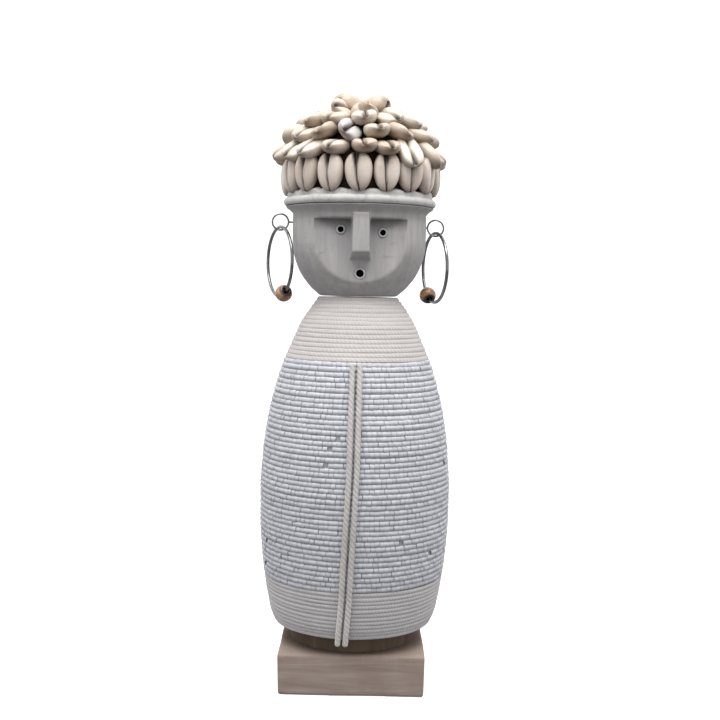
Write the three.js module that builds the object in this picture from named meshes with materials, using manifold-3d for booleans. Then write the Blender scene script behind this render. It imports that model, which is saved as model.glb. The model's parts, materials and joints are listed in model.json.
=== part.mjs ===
// Decorative Namji-style fertility doll on a wooden block, in millimetres, +Z up.
// The face looks along -Y; "left" and "right" are the viewer's, so left is -X.
import * as THREE from "three";
import { mergeVertices } from "three/addons/utils/BufferGeometryUtils.js";
import Module from "manifold-3d";

const wasm = await Module();
wasm.setup();

// ---- Driving dimensions: each can be set by itself ----
const GAP = 0.3; // clearance between pieces that touch
const FULL_TURN = 2 * Math.PI;
const DEGREE = Math.PI / 180;

const BASE_SIDE = 82.4;
const BASE_HEIGHT = 22.8;
const BASE_EDGE = 0.8; // bevel on every edge of the block
const BASE_TURN = -1.8 * DEGREE; // the block sits slightly turned under the doll

const FOOT_HEIGHT = 9.4; // the body's lowest edge floats this far over the block
const FOOT_INSET = 8.8; // how far the foot stands back from the body's lowest edge
const FOOT_FLARE = 2; // widening at the top of the foot
const FOOT_FLARE_HEIGHT = 1;
const TENON_RADIUS = 8;
const TENON_LENGTH = 12;
const NECK_TENON_LENGTH = 22;

const BODY_HEIGHT = 188.6; // from the lowest bead row to the neck
const BODY_RADIUS = 55.9; // at the belly, over the windings
const HEM_HEIGHT = 27.2;
const YOKE_HEIGHT = 35.9;
const WINDING_THICKNESS = 2.7; // cord rows and bead rows alike
const BODY_PROFILE = [ // [share of the height, share of the radius]
  [0, 0.819], [0.029, 0.866], [0.094, 0.912], [0.186, 0.961], [0.286, 0.991], [0.422, 1],
  [0.547, 0.971], [0.645, 0.921], [0.72, 0.862], [0.783, 0.796], [0.827, 0.737],
  [0.918, 0.605], [0.962, 0.51], [1, 0.415],
];

const CORD_RADIUS = 1.65;
const CORD_SPACE = 0.9; // between the two cords
const CORD_LIFT = 0.6; // between a cord and the rows it lies on
const CORD_TOP_SPACE = 0.9; // between the cords' top ends and the yoke
const CORD_OVERHANG = 2.4; // the cords reach this far below the lowest row
const CORD_DRIFT = [ // [share of the cord's height, angle of the pair from straight ahead, degrees]
  [0, -8.4], [0.16, -5.8], [0.613, -2.4], [1, -1.9],
];

const HEAD_HEIGHT = 52.2; // with the lip
const HEAD_RADIUS = 39.5;
const LIP_FLARE = 4.7; // how far the lip stands out beyond the bowl
const LIP_HEIGHT = 4.8;
const LIP_EDGE = 0.3; // upright edge of the lip
const BOWL_PROFILE = [ // [share of the height under the lip, share of the head's radius]
  [0, 0.572], [0.097, 0.709], [0.219, 0.828], [0.316, 0.896], [0.424, 0.947],
  [0.527, 0.982], [0.643, 1], [0.99, 1],
];
const LIP_PROFILE = [ // [share of the lip's height, share of its flare]
  [0, -0.128], [0.15, -0.043], [0.46, 0.234], [0.73, 0.596],
];

const FACE_CUT = 8.7; // depth of the flat face, from the bowl's widest point
const FACE_BOW = 1.6; // how much further back the temples are than the middle
const FACE = { // heights as shares of the head's height
  noseTip: 0.479, noseFoot: 0.364, leftEye: 0.726, rightEye: 0.697, mouth: 0.251,
};
const BROW_DROP = 3.4; // the brow lies this far under the lip
const NOSE_RISE = 3.2; // the nose starts this far over the brow
const NOSE_PROUD = 10.8; // out from the face
const NOSE_TOP_WIDTH = 8.8;
const NOSE_TIP_WIDTH = 9.8;
const NOSE_FLARE = 1.3; // extra width at each side where it meets the face
const NOSE_ROOT = 3; // how far the nose block reaches into the face

const LEFT_EYE_X = -11.3;
const RIGHT_EYE_X = 12.6;
const EYE_RING = { outer: 2.8, hole: 1.6 };
const MOUTH_RING = { outer: 3.3, hole: 2.1 };
const RING_LENGTH = 2.6;
const RING_PROUD = 0.5; // how far a ring stands out of the wood
const RING_EDGE = 0.5;
const BORE_DEPTH = 9;

const RIM_OVERHANG = 0.8; // how far the roll stands out beyond the lip
const RIM_ROLL_HEIGHT = 4.5;
const RIM_ROLL_PROUD = 1.7; // how far the roll bulges from the band
const RIM_SLOPE_START = { rise: 1.4, inset: 1 }; // the band leans back above the roll
const RIM_BAND_HEIGHT = 4.6;
const RIM_BAND_EDGE = 0.9; // width of the band at its top

const PIN_WIRE = 0.55; // wire radius of the eye pins
const PIN_LOOP = 4.75; // loop radius to the wire's centre
const PIN_DEPTH = 14; // length of the shank inside the head
const LEFT_PIN = { side: -1, reach: 2.55, drop: 9.2 }; // distance of the loop from the bowl, and drop from its top
const RIGHT_PIN = { side: 1, reach: 0.95, drop: 11.2 };
const HOOP_WIRE = 1.0;
const HOOP_RADIUS = 20.5; // to the wire's centre
const HOOP_TURN_LEFT = 23 * DEGREE; // the hoop's near side leans towards +X
const HOOP_TURN_RIGHT = 15 * DEGREE;
const BEAD_RADIUS = 5;
const BORE_SPACE = 0.65; // between the hoop's wire and the bead's bore
const BEAD_LIP = 1.06; // width of the flat round the bore
const BEAD_INSET = 0.3; // the bore sits inside the hoop's line, so the bend of the wire clears it
const BEAD_PLACE_LEFT = 22.5 * DEGREE; // from the lowest point towards the near side
const BEAD_PLACE_RIGHT = -35 * DEGREE;

const UPRIGHT_SHELL = { length: 22.6, height: 9 };
const UPRIGHT_COUNT = 17;
const UPRIGHT_SPACE = 0.4; // between neighbours, where they are widest
const UPRIGHT_TURN = -3; // degrees the ring is turned from straight ahead
const UPRIGHT_SETBACK = 1.5; // the shells' middles stand this far inside the rim
const UPRIGHT_LIFT = 1.6; // their tips stand this far over the roll
const SHELL_BACK = 0.52; // depth of a shell's back under its widest line, as a share of its height
const SHELL_POWER = 2.2; // how blunt a shell's ends are
const SHELL_TAPER = 0.09; // how much wider a shell is towards its wide end
const LYING_SHELL = { length: 22.5, width: 14.2, height: 8.2 };
const LYING_COUNT = 18;
const LYING_SPACE = 0.4;
const LYING_DROOP = 16;
const LYING_OVERHANG = 8.9; // the lying shells' ends reach this far beyond the upright shells' middles
const LYING_LIFT = 0.5; // between the upright shells' tips and the lying shells
const UPPER_TIERS = [ // inset from the tier below and sinking into it in mm; droop and offset in degrees
  { name: "shells_tier_3", count: 15, inset: 5.6, sink: 1.3, droop: 12, offset: 12 },
  { name: "shells_tier_4", count: 12, inset: 7.2, sink: 1, droop: 9, offset: 0 },
  { name: "shells_tier_5", count: 7, inset: 10.2, sink: 2.1, droop: -10, offset: 12 },
];
const TOP_SHELLS = [ // leaning on the crown: degrees from +X, distance out, rise over the last tier, tilt
  { turn: 160, out: 9.5, rise: 5.8, tilt: 18 },
  { turn: 20, out: 10, rise: 5.4, tilt: 16 },
  { turn: 272, out: 9.5, rise: 2.4, tilt: -6 },
];
const THREAD_RADIUS = 1.3; // the thread a tier of shells is strung on
const THREAD_PLACE = 0.62; // where the thread passes, as a share of a shell's length from its outer end
const CAP_REST = 0.9; // the cap stays this far under the shells it carries
const CAP_STEP = 1.5; // distance between the points of the cap's outline
const CAP_DIP = 7.6; // the cap's middle lies this far under the last tier

const BODY_SIDES = 36;
const WIRE_SIDES = 7;

// ---- Sizes and places that follow from them ----
const bodyBottom = BASE_HEIGHT + GAP + FOOT_HEIGHT + GAP;
const bodyTop = bodyBottom + BODY_HEIGHT;
const hemTop = bodyBottom + HEM_HEIGHT;
const yokeBottom = bodyTop - YOKE_HEIGHT;
const bodyOutline = BODY_PROFILE.map(([up, out]) => [bodyBottom + up * BODY_HEIGHT, out * BODY_RADIUS]);

const headBottom = bodyTop + 2 * GAP;
const headTop = headBottom + HEAD_HEIGHT;
const lipBottom = headTop - LIP_HEIGHT;
const lipRadius = HEAD_RADIUS + LIP_FLARE;
const brow = lipBottom - BROW_DROP;
const onHead = (share) => headBottom + share * HEAD_HEIGHT;
const faceFront = HEAD_RADIUS - FACE_CUT;
const noseFront = faceFront + NOSE_PROUD;
const leftEye = { x: LEFT_EYE_X, height: onHead(FACE.leftEye) };
const rightEye = { x: RIGHT_EYE_X, height: onHead(FACE.rightEye) };
const mouth = { x: 0, height: onHead(FACE.mouth) };

const rimBottom = headTop + GAP;
const rollTop = rimBottom + RIM_ROLL_HEIGHT;
const rimRadius = lipRadius + RIM_OVERHANG;
const uprightRadius = rimRadius - UPRIGHT_SETBACK;
const uprightTip = rollTop + UPRIGHT_LIFT;
const uprightTop = uprightTip + UPRIGHT_SHELL.length;
const capRadius = uprightRadius - SHELL_BACK * UPRIGHT_SHELL.height - GAP; // just inside the upright shells

// ---- Materials ----
const material = (name, colour, roughness, metalness = 0) =>
  Object.assign(new THREE.MeshStandardMaterial({ color: colour, roughness, metalness }), { name });
const greyWood = material("weathered_wood", 0x8c7d73, 0.85);
const whitewash = material("whitewashed_wood", 0x9f9c99, 0.75);
const yokeCord = material("cream_cord", 0xd2cdc8, 0.8);
const glassBeads = material("white_glass_beads", 0xc4c6cf, 0.35);
const hemCord = material("grey_cream_cord", 0xb9b4b0, 0.8);
const frontCord = material("twisted_cord", 0xcfccc8, 0.85);
const white = material("white_rim", 0xe4e3e0, 0.55);
const darkCap = material("dark_cap", 0x3a2a20, 0.95);
const steel = material("polished_steel", 0xc8cacc, 0.2, 1);
const brownBead = material("brown_bead", 0x8a6846, 0.5);
const ringBead = material("ring_bead", 0xe6e6e6, 0.4);
const standingShell = material("pale_cowrie", 0xd6cbbf, 0.3);
const lyingShell = material("cream_cowrie", 0xdcc9ae, 0.35);

// ---- Helpers ----
/** Turns a three.js geometry into a solid that can be cut and joined. */
function toSolid(geometry) {
  const clean = geometry.clone();
  clean.deleteAttribute("normal");
  clean.deleteAttribute("uv");
  const merged = mergeVertices(clean, 1e-4);
  const triVerts = Uint32Array.from(merged.index.array);
  const vertProperties = Float32Array.from(merged.attributes.position.array);
  return new wasm.Manifold(new wasm.Mesh({ numProp: 3, vertProperties, triVerts }));
}

/** Turns a solid back into a three.js geometry. */
function toGeometry(solid) {
  const mesh = solid.getMesh();
  const geometry = new THREE.BufferGeometry();
  geometry.setAttribute("position", new THREE.Float32BufferAttribute(mesh.vertProperties, 3));
  geometry.setIndex(Array.from(mesh.triVerts));
  geometry.computeVertexNormals();
  return geometry;
}

/** A named mesh. */
function piece(name, geometry, finish) {
  const mesh = new THREE.Mesh(geometry, finish);
  mesh.name = name;
  return mesh;
}

/** Turns an outline of [height, radius] pairs about the Z axis. */
function turned(outline, sides = BODY_SIDES) {
  const points = outline.map(([height, radius]) => new THREE.Vector2(radius, height));
  return new THREE.LatheGeometry(points, sides).rotateX(Math.PI / 2);
}

/** Straight-line value at a height in a rising table of [height, value] pairs. */
function valueAt(table, height) {
  const next = table.findIndex(([level]) => level >= height);
  if (next === 0) return table[0][1];
  if (next < 0) return table[table.length - 1][1];
  const [lowHeight, lowValue] = table[next - 1];
  const [highHeight, highValue] = table[next];
  return lowValue + ((highValue - lowValue) * (height - lowHeight)) / (highHeight - lowHeight);
}

/** A round cutter that starts in front of the nose and goes to a depth behind the flat face. */
function boreIntoFace(place, radius, depth) {
  const length = HEAD_RADIUS + depth;
  const bore = new THREE.CylinderGeometry(radius, radius, length, 20);
  return bore.translate(place.x, -faceFront + depth - length / 2, place.height);
}

/** A ring of round wire about the origin, its axis along the given direction. */
function wireRing(ringRadius, wireRadius, axis, steps = 38, sides = WIRE_SIDES) {
  const ring = new THREE.TorusGeometry(ringRadius, wireRadius, sides, steps);
  const turn = new THREE.Quaternion().setFromUnitVectors(new THREE.Vector3(0, 0, 1), axis);
  return ring.applyQuaternion(turn);
}

// ---- The block and the body ----
/** The square block, with a socket for the core's foot tenon. */
function baseBlock() {
  const half = BASE_SIDE / 2 - BASE_EDGE;
  const square = new THREE.Shape();
  square.moveTo(-half, -half);
  square.lineTo(half, -half);
  square.lineTo(half, half);
  square.lineTo(-half, half);
  square.closePath();
  const block = new THREE.ExtrudeGeometry(square, {
    depth: BASE_HEIGHT - 2 * BASE_EDGE,
    bevelThickness: BASE_EDGE,
    bevelSize: BASE_EDGE,
    bevelSegments: 2,
  });
  block.translate(0, 0, BASE_EDGE).rotateZ(BASE_TURN);
  const socketDepth = TENON_LENGTH + GAP;
  const socket = new THREE.CylinderGeometry(TENON_RADIUS + GAP, TENON_RADIUS + GAP, 2 * socketDepth, 32);
  socket.rotateX(Math.PI / 2).translate(0, 0, BASE_HEIGHT);
  return toGeometry(toSolid(block).subtract(toSolid(socket)));
}

/** Radius of the wooden core at a height: the outline less the winding and its clearance. */
const coreRadius = (height) => valueAt(bodyOutline, height) - WINDING_THICKNESS - GAP;

/** The wooden core: foot tenon, recessed foot, body, and a socket for the head's tenon. */
function bodyCore() {
  const bottom = BASE_HEIGHT + GAP;
  const footTop = bottom + FOOT_HEIGHT;
  const footRadius = valueAt(bodyOutline, bodyBottom) - FOOT_INSET;
  const socket = TENON_RADIUS + GAP;
  const socketBottom = headBottom - NECK_TENON_LENGTH - GAP;
  const outline = [
    [bottom - TENON_LENGTH, 0],
    [bottom - TENON_LENGTH, TENON_RADIUS],
    [bottom, TENON_RADIUS],
    [bottom, footRadius],
    [footTop - FOOT_FLARE_HEIGHT, footRadius],
    [footTop, footRadius + FOOT_FLARE],
    ...bodyOutline.map(([height]) => [height, coreRadius(height)]),
    [bodyTop, socket],
    [socketBottom, socket],
    [socketBottom, 0],
  ];
  return turned(outline);
}

/** One zone of the winding, a sleeve between two heights. */
function windingSleeve(bottom, top) {
  const inside = bodyOutline.map(([height]) => height).filter((level) => level > bottom && level < top);
  const heights = [bottom, ...inside, top];
  const outer = heights.map((height) => [height, valueAt(bodyOutline, height)]);
  const inner = heights.map((height) => [height, coreRadius(height) + GAP]).reverse();
  return turned([...outer, ...inner, outer[0]]);
}

/** One of the two cords down the front; side is -1 for the left one and +1 for the right. */
function frontCordTube(side) {
  const points = [];
  const steps = 16;
  const top = yokeBottom - CORD_TOP_SPACE;
  const bottom = bodyBottom - CORD_OVERHANG;
  for (let step = 0; step <= steps; step += 1) {
    const share = 1 - step / steps;
    const height = bottom + (top - bottom) * share;
    const surface = valueAt(bodyOutline, Math.max(height, bodyBottom));
    const radius = surface + CORD_RADIUS + CORD_LIFT;
    const sideways = side * (CORD_RADIUS + CORD_SPACE / 2);
    const angle = valueAt(CORD_DRIFT, share) * DEGREE + sideways / radius;
    points.push(new THREE.Vector3(radius * Math.sin(angle), -radius * Math.cos(angle), height));
  }
  const circle = new THREE.Shape().absarc(0, 0, CORD_RADIUS, 0, FULL_TURN);
  return new THREE.ExtrudeGeometry(circle, {
    steps: 22,
    curveSegments: 5,
    extrudePath: new THREE.CatmullRomCurve3(points),
  });
}

// ---- The head ----
/** The block that cuts the flat face, its back side very slightly rounded. */
function faceCutter() {
  const steps = 8;
  const plan = new THREE.Shape();
  const edge = HEAD_RADIUS;
  const temple = Math.sqrt(HEAD_RADIUS ** 2 - faceFront ** 2);
  plan.moveTo(-edge, -2 * HEAD_RADIUS);
  plan.lineTo(edge, -2 * HEAD_RADIUS);
  for (let step = 0; step <= steps; step += 1) {
    const x = edge - (2 * edge * step) / steps;
    plan.lineTo(x, -faceFront + FACE_BOW * (x / temple) ** 2);
  }
  plan.closePath();
  const depth = brow - headBottom;
  return new THREE.ExtrudeGeometry(plan, { depth, bevelEnabled: false }).translate(0, 0, headBottom);
}

/** The straight nose: flat front, flared sides and a sloping underside. */
function nose() {
  const back = faceFront - FACE_BOW - NOSE_ROOT;
  const top = NOSE_TOP_WIDTH / 2;
  const tip = NOSE_TIP_WIDTH / 2;
  const high = brow + NOSE_RISE;
  const low = onHead(FACE.noseTip);
  const foot = onHead(FACE.noseFoot);
  const corners = [
    [-top, -noseFront, high], [top, -noseFront, high],
    [tip, -noseFront, low], [-tip, -noseFront, low],
    [-top - NOSE_FLARE, -back, high], [top + NOSE_FLARE, -back, high],
    [tip + NOSE_FLARE, -back, foot], [-tip - NOSE_FLARE, -back, foot],
  ];
  const faces = [
    [0, 2, 1], [0, 3, 2], [4, 5, 6], [4, 6, 7], [0, 1, 5], [0, 5, 4],
    [1, 2, 6], [1, 6, 5], [2, 3, 7], [2, 7, 6], [3, 0, 4], [3, 4, 7],
  ];
  const geometry = new THREE.BufferGeometry();
  geometry.setAttribute("position", new THREE.Float32BufferAttribute(corners.flat(), 3));
  geometry.setIndex(faces.flat());
  return geometry;
}

/** Height of an eye pin. */
const pinHeight = (pin) => headTop - pin.drop;

/** The hole for an eye pin's shank, in from the side of the head. */
function pinHole(pin) {
  const depth = PIN_DEPTH + GAP;
  const hole = new THREE.CylinderGeometry(PIN_WIRE + GAP, PIN_WIRE + GAP, 2 * depth, 12);
  return hole.rotateZ(Math.PI / 2).translate(pin.side * HEAD_RADIUS, 0, pinHeight(pin));
}

/** The carved head with its neck tenon. */
function head() {
  const bowlHeight = lipBottom - headBottom;
  const lipCurve = LIP_HEIGHT - LIP_EDGE;
  const outline = [
    [headBottom - NECK_TENON_LENGTH, 0],
    [headBottom - NECK_TENON_LENGTH, TENON_RADIUS],
    [headBottom, TENON_RADIUS],
    ...BOWL_PROFILE.map(([up, out]) => [headBottom + up * bowlHeight, out * HEAD_RADIUS]),
    ...LIP_PROFILE.map(([up, out]) => [lipBottom + up * lipCurve, HEAD_RADIUS + out * LIP_FLARE]),
    [headTop - LIP_EDGE, lipRadius],
    [headTop, lipRadius],
    [headTop, 0],
  ];
  let solid = toSolid(turned(outline)).subtract(toSolid(faceCutter())).add(toSolid(nose()));
  const seatDepth = RING_LENGTH - RING_PROUD + GAP;
  for (const [place, ring] of [[leftEye, EYE_RING], [rightEye, EYE_RING], [mouth, MOUTH_RING]]) {
    const seat = boreIntoFace(place, ring.outer + GAP, seatDepth);
    const hole = boreIntoFace(place, ring.hole, BORE_DEPTH);
    solid = solid.subtract(toSolid(seat)).subtract(toSolid(hole));
  }
  for (const pin of [LEFT_PIN, RIGHT_PIN]) {
    solid = solid.subtract(toSolid(pinHole(pin)));
  }
  return toGeometry(solid);
}

/** A ring bead let into the face. */
function faceRing(place, ring) {
  const half = RING_LENGTH / 2;
  const edge = half - RING_EDGE;
  const outline = [
    [-half, ring.hole], [-half, ring.outer], [edge, ring.outer],
    [half, ring.outer - RING_EDGE], [half, ring.hole + RING_EDGE], [edge, ring.hole], [-half, ring.hole],
  ];
  const middle = faceFront + RING_PROUD - half;
  return turned(outline, 18).rotateX(Math.PI / 2).translate(place.x, -middle, place.height);
}

/** The white rim: a half-round roll with a low band behind the shell tips. */
function rimBand() {
  const half = RIM_ROLL_HEIGHT / 2;
  const middle = rimBottom + half;
  const inner = capRadius + GAP;
  const band = rimRadius - RIM_ROLL_PROUD;
  const outline = [[rimBottom, inner]];
  const steps = 5;
  for (let step = 0; step <= steps; step += 1) {
    const angle = -Math.PI / 2 + (Math.PI * step) / steps;
    outline.push([middle + half * Math.sin(angle), band + RIM_ROLL_PROUD * Math.cos(angle)]);
  }
  outline.push([rollTop + RIM_SLOPE_START.rise, band - RIM_SLOPE_START.inset]);
  outline.push([rollTop + RIM_BAND_HEIGHT - GAP, inner + RIM_BAND_EDGE]);
  outline.push([rollTop + RIM_BAND_HEIGHT, inner]);
  outline.push(outline[0]);
  return turned(outline);
}

// ---- Earrings ----
/** Sideways place of a pin's loop. */
const pinCentre = (pin) => pin.side * (HEAD_RADIUS + pin.reach + PIN_LOOP);

/** A closed wire loop with a shank that goes into the side of the head. */
function eyePin(pin) {
  const loop = wireRing(PIN_LOOP, PIN_WIRE, new THREE.Vector3(0, 1, 0), 22);
  loop.translate(pinCentre(pin), 0, pinHeight(pin));
  const outerEnd = HEAD_RADIUS + pin.reach;
  const innerEnd = HEAD_RADIUS - PIN_DEPTH;
  const shank = new THREE.CylinderGeometry(PIN_WIRE, PIN_WIRE, outerEnd - innerEnd, WIRE_SIDES);
  shank.rotateZ(Math.PI / 2).translate((pin.side * (outerEnd + innerEnd)) / 2, 0, pinHeight(pin));
  return toGeometry(toSolid(loop).add(toSolid(shank)));
}

/** Centre of a hoop hanging in its pin's loop. */
function hoopCentre(pin) {
  const loopBottom = pinHeight(pin) - PIN_LOOP;
  return new THREE.Vector3(pinCentre(pin), 0, loopBottom + PIN_WIRE + GAP + HOOP_WIRE - HOOP_RADIUS);
}

/** The hoop's axis, square to its plane. */
const hoopAxis = (turn) => new THREE.Vector3(Math.cos(turn), Math.sin(turn), 0);

/** A closed steel hoop. */
function hoop(pin, turn) {
  const centre = hoopCentre(pin);
  return wireRing(HOOP_RADIUS, HOOP_WIRE, hoopAxis(turn)).translate(centre.x, centre.y, centre.z);
}

/** A round bead threaded on a hoop, at an angle from the hoop's lowest point towards the face. */
function hoopBead(pin, turn, place) {
  const bore = HOOP_WIRE + BORE_SPACE;
  const half = Math.sqrt(BEAD_RADIUS ** 2 - (bore + BEAD_LIP) ** 2);
  const outline = [[-half, bore]];
  const steps = 8;
  for (let step = 0; step <= steps; step += 1) {
    const height = -half + (2 * half * step) / steps;
    outline.push([height, Math.sqrt(BEAD_RADIUS ** 2 - height ** 2)]);
  }
  outline.push([half, bore], outline[0]);
  const near = new THREE.Vector3(Math.sin(turn), -Math.cos(turn), 0);
  const down = new THREE.Vector3(0, 0, -1);
  const outwards = near.clone().multiplyScalar(Math.sin(place)).addScaledVector(down, Math.cos(place));
  const along = near.clone().multiplyScalar(Math.cos(place)).addScaledVector(down, -Math.sin(place));
  const spin = new THREE.Quaternion().setFromUnitVectors(new THREE.Vector3(0, 0, 1), along);
  const centre = hoopCentre(pin).addScaledVector(outwards, HOOP_RADIUS - BEAD_INSET);
  return turned(outline, 22).applyQuaternion(spin).translate(centre.x, centre.y, centre.z);
}

// ---- Cowrie shells ----
/** Share of a shell's full width and height at a place along it, from -1 to 1. */
const shellSwell = (place) => Math.sqrt(Math.max(0, 1 - Math.abs(place) ** SHELL_POWER));

/** A cowrie along X, wide end at +X, its slit side facing +Z and its rounded back -Z. */
function cowrie({ length, width, height }) {
  const stations = [-0.92, -0.5, 0, 0.5, 0.92];
  const section = [ // [across, up] as shares of the half width and of the height
    [0, 0.28], [0.26, 0.42], [0.8, 0.26], [1, -0.08], [0.52, -SHELL_BACK],
    [-0.52, -SHELL_BACK], [-1, -0.08], [-0.8, 0.26], [-0.26, 0.42],
  ];
  const corners = [];
  for (const station of stations) {
    const swell = shellSwell(station);
    const lean = 1 + SHELL_TAPER * station;
    for (const [across, up] of section) {
      corners.push((station * length) / 2, across * (width / 2) * swell * lean, up * height * swell);
    }
  }
  const count = section.length;
  const faces = [];
  for (let ring = 0; ring + 1 < stations.length; ring += 1) {
    for (let spot = 0; spot < count; spot += 1) {
      const here = ring * count + spot;
      const beside = ring * count + ((spot + 1) % count);
      faces.push(here, here + count, beside, beside, here + count, beside + count);
    }
  }
  const narrowTip = corners.length / 3;
  corners.push(-length / 2, 0, 0, length / 2, 0, 0);
  for (let spot = 0; spot < count; spot += 1) {
    const beside = (spot + 1) % count;
    const last = (stations.length - 1) * count;
    faces.push(narrowTip, spot, beside);
    faces.push(narrowTip + 1, last + beside, last + spot);
  }
  const geometry = new THREE.BufferGeometry();
  geometry.setAttribute("position", new THREE.Float32BufferAttribute(corners, 3));
  geometry.setIndex(faces);
  return geometry;
}

/** Moves a cowrie so that its length, slit side and centre are as given. */
function placed(geometry, along, slit, centre) {
  const across = slit.clone().cross(along);
  const pose = new THREE.Matrix4().makeBasis(along, across, slit).setPosition(centre);
  return geometry.applyMatrix4(pose);
}

/** Direction away from the axis at an angle measured from straight ahead, and from there to the right. */
const outward = (angle) => new THREE.Vector3(Math.sin(angle), -Math.cos(angle), 0);

/** Width of each of a number of shells side by side in a ring, leaving a space between neighbours. */
const fittedWidth = (radius, count, space) => ((FULL_TURN * radius) / count - space) / (1 + SHELL_TAPER / 2);

/** A shell of the upright ring, slit facing out. */
function uprightShell(index) {
  const out = outward((FULL_TURN * index) / UPRIGHT_COUNT + UPRIGHT_TURN * DEGREE);
  const centre = out.clone().multiplyScalar(uprightRadius);
  centre.z = uprightTip + UPRIGHT_SHELL.length / 2;
  const width = fittedWidth(uprightRadius, UPRIGHT_COUNT, UPRIGHT_SPACE);
  return placed(cowrie({ ...UPRIGHT_SHELL, width }), new THREE.Vector3(0, 0, 1), out, centre);
}

/** The tier of lying shells that rests on the upright ones, their outer ends hanging over. */
function lyingTier() {
  const droop = LYING_DROOP * DEGREE;
  const back = (SHELL_BACK * LYING_SHELL.height) / Math.cos(droop);
  const outer = uprightRadius + LYING_OVERHANG;
  const height = uprightTop + LYING_LIFT + back - LYING_OVERHANG * Math.tan(droop);
  const middle = outer - (LYING_SHELL.length / 2) * Math.cos(droop);
  const width = fittedWidth(middle, LYING_COUNT, LYING_SPACE);
  return { count: LYING_COUNT, outer, height, droop: LYING_DROOP, offset: 0, size: { ...LYING_SHELL, width } };
}

/** The tiers above it, each placed by the one below. */
function upperTiers(lowest) {
  const tiers = [];
  let below = lowest;
  for (const step of UPPER_TIERS) {
    const rise = step.inset * Math.tan(below.droop * DEGREE) + LYING_SHELL.height - step.sink;
    below = { ...step, outer: below.outer - step.inset, height: below.height + rise, size: LYING_SHELL };
    tiers.push(below);
  }
  return tiers;
}

/** A shell's size, grown on every side. */
const grown = ({ length, width, height }, growth) => ({
  length: length + 2 * growth,
  width: width + 2 * growth,
  height: height + 2 * growth,
});

/** A shell of a lying tier, pointing outwards and slit up. */
function tierShell(tier, index, growth = 0) {
  const out = outward(FULL_TURN * (index / tier.count) + tier.offset * DEGREE);
  const droop = tier.droop * DEGREE;
  const up = new THREE.Vector3(0, 0, 1);
  const along = out.clone().multiplyScalar(Math.cos(droop)).addScaledVector(up, -Math.sin(droop));
  const slit = out.clone().multiplyScalar(Math.sin(droop)).addScaledVector(up, Math.cos(droop));
  const end = out.clone().multiplyScalar(tier.outer).addScaledVector(up, tier.height);
  const centre = end.addScaledVector(along, -tier.size.length / 2);
  return placed(cowrie(grown(tier.size, growth)), along, slit, centre);
}

/** One of the shells leaning on the crown, over the last tier. */
function topShell({ turn, out, rise, tilt }, lastTier, growth = 0) {
  const away = new THREE.Vector3(Math.cos(turn * DEGREE), Math.sin(turn * DEGREE), 0);
  const up = new THREE.Vector3(0, 0, 1);
  const lean = tilt * DEGREE;
  const along = away.clone().multiplyScalar(Math.cos(lean)).addScaledVector(up, Math.sin(lean));
  const slit = away.clone().multiplyScalar(-Math.sin(lean)).addScaledVector(up, Math.cos(lean));
  const centre = away.clone().multiplyScalar(out).addScaledVector(up, lastTier.height + rise);
  return placed(cowrie(grown(LYING_SHELL, growth)), along, slit, centre);
}

/** Every shell of a tier as one solid, with the thread ring that passes through them all. */
function tierSolid(tier, growth = 0) {
  const parts = [tierThread(tier, growth)];
  for (let index = 0; index < tier.count; index += 1) {
    parts.push(toSolid(tierShell(tier, index, growth)));
  }
  return wasm.Manifold.union(parts);
}

/** The thread ring that a tier's shells are strung on. */
function tierThread(tier, growth) {
  const droop = tier.droop * DEGREE;
  const inset = tier.size.length * THREAD_PLACE;
  const radius = tier.outer - inset * Math.cos(droop);
  const ring = wireRing(radius, THREAD_RADIUS + growth, new THREE.Vector3(0, 0, 1), tier.count, 4);
  return toSolid(ring.translate(0, 0, tier.height + inset * Math.sin(droop)));
}

/** The leaning shells on the crown as one solid. */
function topSolid(lastTier, growth = 0) {
  return wasm.Manifold.union(TOP_SHELLS.map((shell) => toSolid(topShell(shell, lastTier, growth))));
}

/** Height the cap may reach under a tier at a distance from the axis, or nothing where the tier isn't. */
function underside(tier, radius) {
  const droop = tier.droop * DEGREE;
  const half = (tier.size.length / 2) * Math.cos(droop);
  const share = (radius - (tier.outer - half)) / half;
  if (Math.abs(share) > 1.15) return undefined;
  const depth = SHELL_BACK * tier.size.height * shellSwell(share);
  return tier.height + (tier.outer - radius) * Math.tan(droop) - depth / Math.cos(droop) - CAP_REST;
}

/** The dark cap that fills the space under the shells and carries them. */
function capForm(tiers) {
  const side = capRadius;
  const outline = [
    [headTop + GAP, 0],
    [headTop + GAP, side],
    [rollTop + RIM_BAND_HEIGHT, side],
    [uprightTop - UPRIGHT_LIFT, side],
  ];
  const ceiling = tiers[tiers.length - 1].height - CAP_DIP;
  let level = ceiling;
  for (let radius = side - CAP_STEP / 2; radius > CAP_STEP; radius -= CAP_STEP) {
    const heights = tiers.map((tier) => underside(tier, radius)).filter((height) => height !== undefined);
    level = Math.min(...heights, ceiling) - GAP;
    outline.push([level, radius]);
  }
  outline.push([level, 0]);
  return turned(outline, 26);
}

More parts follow.
